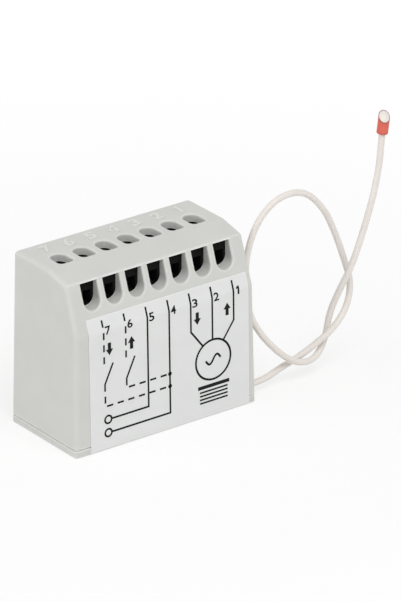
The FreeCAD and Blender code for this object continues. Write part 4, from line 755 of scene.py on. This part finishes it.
# %% Print the motor's wave and the slatted blind
WAVE_REACH, WAVE_HEIGHT = 1.7, 0.85
wave = np.linspace(-1.0, 1.0, 33)
wave_line = MOTOR + np.column_stack([WAVE_REACH * wave, WAVE_HEIGHT * np.sin(math.pi * wave)])
print_parts.append(stroke(wave_line, BOLD_LINE))
BLIND_LEFT, BLIND_RIGHT, BLIND_TOP = 7.1, 14.3, 6.3
BAR_THICKNESS, SLAT_THICKNESS = 0.7, 0.34
SLAT_INSET, FIRST_SLAT, SLAT_STEP = 0.4, 0.95, 0.72


def bar(left, right, middle, thickness):
    """A level bar, given by its two ends, the height of its middle and its thickness."""
    return filled([(left, middle - thickness / 2), (right, middle - thickness / 2),
                   (right, middle + thickness / 2), (left, middle + thickness / 2)])


print_parts.append(bar(BLIND_LEFT, BLIND_RIGHT, BLIND_TOP, BAR_THICKNESS))
for slat in range(4):
    left, right = BLIND_LEFT + SLAT_INSET, BLIND_RIGHT - SLAT_INSET
    middle = BLIND_TOP - FIRST_SLAT - SLAT_STEP * slat
    print_parts.append(bar(left, right, middle, SLAT_THICKNESS))
points, faces = combine(print_parts)
new_piece("wiring_print", points, faces, "housing", ink)

# %% [markdown]
# ## Numbers
# Plain numbers name the terminals, printed beside each line and raised on the roof
# behind each screw hole. They come from the built-in font, which every Blender has. A
# text object is made a mesh first, and then its points are carried to where they
# belong. The font's 1 is a bare upright stroke, so a 1 with a flag is drawn by its
# outline instead.

# %% Numbers from the built-in font
STROKE_WEIGHT = 0.02
SAME_POINT = 1e-5
ONE_OUTLINE = [(-0.02, 0.0), (0.13, 0.0), (0.13, 0.7), (0.02, 0.7), (-0.14, 0.57),
               (-0.14, 0.44), (-0.02, 0.53)]


def flagged_one():
    """The outline of a 1 as a mesh with a front and a back face half a unit from zero."""
    count = len(ONE_OUTLINE)
    mesh = bpy.data.meshes.new("one")
    corners = [(x, y, z) for z in (-0.5, 0.5) for x, y in ONE_OUTLINE]
    sides = grid_quads(2, count, closed_columns=True).tolist()
    mesh.from_pydata(corners, [], sides + [list(range(count))[::-1], list(range(count, 2 * count))])
    return mesh


def font_number(text, weight):
    """A number of the built-in font, one unit deep, its strokes widened by weight."""
    letters = bpy.data.curves.new("number", "FONT")
    letters.body = text
    letters.extrude = 0.5
    letters.resolution_u = 4
    letters.offset = weight
    holder = bpy.data.objects.new("number", letters)
    mesh = bpy.data.meshes.new_from_object(holder)
    bpy.data.objects.remove(holder)
    bpy.data.curves.remove(letters)
    return mesh


def number_mesh(text, width, height, cuts=()):
    """A number as points and faces, its middle at zero, scaled to width and height. Its
    third coordinate runs from 0 to 1 through its thickness. It is cut along the given
    heights, so that it can bend there."""
    mesh = flagged_one() if text == "1" else font_number(text, STROKE_WEIGHT)
    points = np.empty(len(mesh.vertices) * 3)
    mesh.vertices.foreach_get("co", points)
    points = points.reshape(-1, 3)
    low, high = points.min(axis=0), points.max(axis=0)
    points = (points - (low + high) / 2) / (high - low) * (width, height, 1.0) + (0.0, 0.0, 0.5)
    mesh.vertices.foreach_set("co", points.ravel())
    solid = bmesh.new()
    solid.from_mesh(mesh)
    bmesh.ops.remove_doubles(solid, verts=solid.verts, dist=SAME_POINT)
    for cut in cuts:
        everything = [*solid.verts, *solid.edges, *solid.faces]
        bmesh.ops.bisect_plane(solid, geom=everything, plane_co=(0.0, cut, 0.0),
                               plane_no=(0.0, 1.0, 0.0))
    points = np.array([vertex.co[:] for vertex in solid.verts])
    solid.verts.index_update()
    faces = [[vertex.index for vertex in face.verts] for face in solid.faces]
    solid.free()
    bpy.data.meshes.remove(mesh)
    return points, faces


# %% [markdown]
# The printed numbers stand right on the fold. A flat digit would sink into the bend, so
# each one is cut across at a few heights inside the bend, and then bends with the sheet.

# %% Print the numbers beside the lines
NUMBER_UP = 23.75
NUMBER_BESIDE = 1.0
BEND_CUTS = 7
LABEL_NUMBER_SIZE = (1.18, 1.64)
LABEL_ONE_SIZE = (0.7, 1.64)
bend_cuts = np.linspace(fold_start, fold_start + fold_length, BEND_CUTS) / MM - NUMBER_UP
number_parts = []
for index, middle in enumerate(line_x):
    text = str(7 - index)
    size = LABEL_ONE_SIZE if text == "1" else LABEL_NUMBER_SIZE
    digit, faces = number_mesh(text, *size, cuts=bend_cuts)
    flat = (digit[:, :2] + (middle + NUMBER_BESIDE, NUMBER_UP)) * MM
    lift = INK_FOOT + digit[:, 2] * (INK_TOP - INK_FOOT)
    number_parts.append((on_sheet(flat, lift), faces))
points, faces = combine(number_parts)
new_piece("terminal_numbers", points, faces, "housing", ink)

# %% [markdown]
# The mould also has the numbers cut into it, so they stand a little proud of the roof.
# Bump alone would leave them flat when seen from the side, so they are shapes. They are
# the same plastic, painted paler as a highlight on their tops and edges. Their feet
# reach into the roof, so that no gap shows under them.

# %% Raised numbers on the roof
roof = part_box("housing_shell")[1].z
POLE_PITCH = 5.0 * MM
ROOF_NUMBER_X = 0.1 * MM
ROOF_NUMBER_Y = 6.65 * MM
ROOF_NUMBER_RISE = 0.16 * MM
ROOF_NUMBER_SINK = 0.032 * MM
ROOF_NUMBER_SIZE = (1.9, 2.6)
ROOF_ONE_SIZE = (0.9, 2.6)
# Paler than the case: a painted highlight on the raised numbers.
raised_highlight_plastic = plastic("raised plastic", (216, 217, 212), (213, 214, 209), (224, 225, 220),
                         0.55, 0.16 * MM, 2 * MICRON)
raised_parts = []
for index in range(7):
    text = str(7 - index)
    digit, faces = number_mesh(text, *(ROOF_ONE_SIZE if text == "1" else ROOF_NUMBER_SIZE))
    middle = POLE_PITCH * (index - 3) + ROOF_NUMBER_X
    deep = ROOF_NUMBER_RISE + ROOF_NUMBER_SINK
    placed = digit * (MM, MM, deep) + (middle, ROOF_NUMBER_Y, roof - ROOF_NUMBER_SINK)
    raised_parts.append((placed, faces))
points, faces = combine(raised_parts)
new_piece("roof_numbers", points, faces, "housing", raised_highlight_plastic)

# %% [markdown]
# ## Floor and light
# The studio is a pale table under soft light. A bent backdrop would show a seam from
# some sides, so the table is a disc that turns into the same white as the world. Near
# the object part of it is plain paint, which takes the object's shadow.

# %% The floor
FLOOR_RADIUS = 1.5
FLOOR_RINGS = 11
FLOOR_SPOKES = 64
PLAIN_WITHIN = 0.06
WHITE_BEYOND = 0.16
LEAST_WHITE = 0.7


def pale_floor():
    """Paint mixed with a plain white glow that only the camera and reflections see. The
    glow's share grows from LEAST_WHITE to all of it with the distance from the middle."""
    material, tree, shader = new_material("pale floor", 0.9)
    shader.inputs["Base Color"].default_value = (0.95, 0.95, 0.95, 1.0)
    place = tree.nodes.new("ShaderNodeTexCoord").outputs["Object"]
    distance = tree.nodes.new("ShaderNodeVectorMath")
    distance.operation = "LENGTH"
    tree.links.new(place, distance.inputs[0])
    far = spread(tree, distance.outputs["Value"], PLAIN_WITHIN, WHITE_BEYOND, LEAST_WHITE, 1.0)
    path = tree.nodes.new("ShaderNodeLightPath")
    seen = calculate(tree, "MAXIMUM", path.outputs["Is Camera Ray"], path.outputs["Is Glossy Ray"])
    white = tree.nodes.new("ShaderNodeEmission")
    mix = tree.nodes.new("ShaderNodeMixShader")
    tree.links.new(calculate(tree, "MULTIPLY", far, seen), mix.inputs["Fac"])
    tree.links.new(shader.outputs["BSDF"], mix.inputs[1])
    tree.links.new(white.outputs["Emission"], mix.inputs[2])
    tree.links.new(mix.outputs["Shader"], tree.nodes["Material Output"].inputs["Surface"])
    return material


rings = np.linspace(FLOOR_RADIUS, 0.0, FLOOR_RINGS + 1)[:-1, None]
turn = np.linspace(0.0, 2.0 * math.pi, FLOOR_SPOKES, endpoint=False)[None, :]
floor_points = np.stack([rings * np.cos(turn), rings * np.sin(turn), 0.0 * rings * turn], axis=-1)
floor_mesh = bpy.data.meshes.new("floor")
floor_faces = grid_quads(FLOOR_RINGS, FLOOR_SPOKES, closed_columns=True).tolist()
inner_ring = range((FLOOR_RINGS - 1) * FLOOR_SPOKES, FLOOR_RINGS * FLOOR_SPOKES)
floor_faces.append(list(inner_ring))
floor_mesh.from_pydata(floor_points.reshape(-1, 3).tolist(), [], floor_faces)
floor_mesh.materials.append(pale_floor())
floor = bpy.data.objects.new("floor", floor_mesh)
bpy.context.scene.collection.objects.link(floor)
print("floor rings:", FLOOR_RINGS)

# %% [markdown]
# The world gives even light from all round and looks white to the camera, to
# reflections and through clear plastic. Even light alone would flatten the folds, so a
# large soft lamp stands overhead, a little to the front. One at the left grazes past
# the front, so that it lights the side but not the wire slots, and a weak one fills
# the right.

# %% The lamps and the world
AMBIENT = 0.5
LAMP_TARGET = Vector((0.0, 0.0, 0.015))


def soft_lamp(name, place, size, power):
    """A round lamp of the given size that faces the middle of the case."""
    lamp = bpy.data.lights.new(name, "AREA")
    lamp.shape = "DISK"
    lamp.size = size
    lamp.energy = power
    holder = bpy.data.objects.new(name, lamp)
    holder.location = place
    holder.rotation_mode = "QUATERNION"
    holder.rotation_quaternion = (LAMP_TARGET - Vector(place)).to_track_quat("-Z", "Y")
    bpy.context.scene.collection.objects.link(holder)


soft_lamp("key lamp", (-0.1, -0.5, 0.9), 0.8, 5.0)
soft_lamp("side lamp", (-0.9, 0.25, 0.4), 0.6, 2.2)
soft_lamp("fill lamp", (0.6, -0.8, 0.4), 0.8, 0.5)

world = bpy.data.worlds.new("studio")
bpy.context.scene.world = world
world.use_nodes = True
tree = world.node_tree
surround = tree.nodes["Background"]
path = tree.nodes.new("ShaderNodeLightPath")
seen = path.outputs["Is Camera Ray"]
for ray in ("Is Glossy Ray", "Is Transmission Ray"):
    seen = calculate(tree, "MAXIMUM", seen, path.outputs[ray])
tree.links.new(spread(tree, seen, 0.0, 1.0, AMBIENT, 1.0), surround.inputs["Strength"])
surround.inputs["Color"].default_value = (1.0, 1.0, 1.0, 1.0)

bpy.context.scene.view_settings.view_transform = "Standard"
print("lamps:", [lamp.name for lamp in bpy.data.lights])
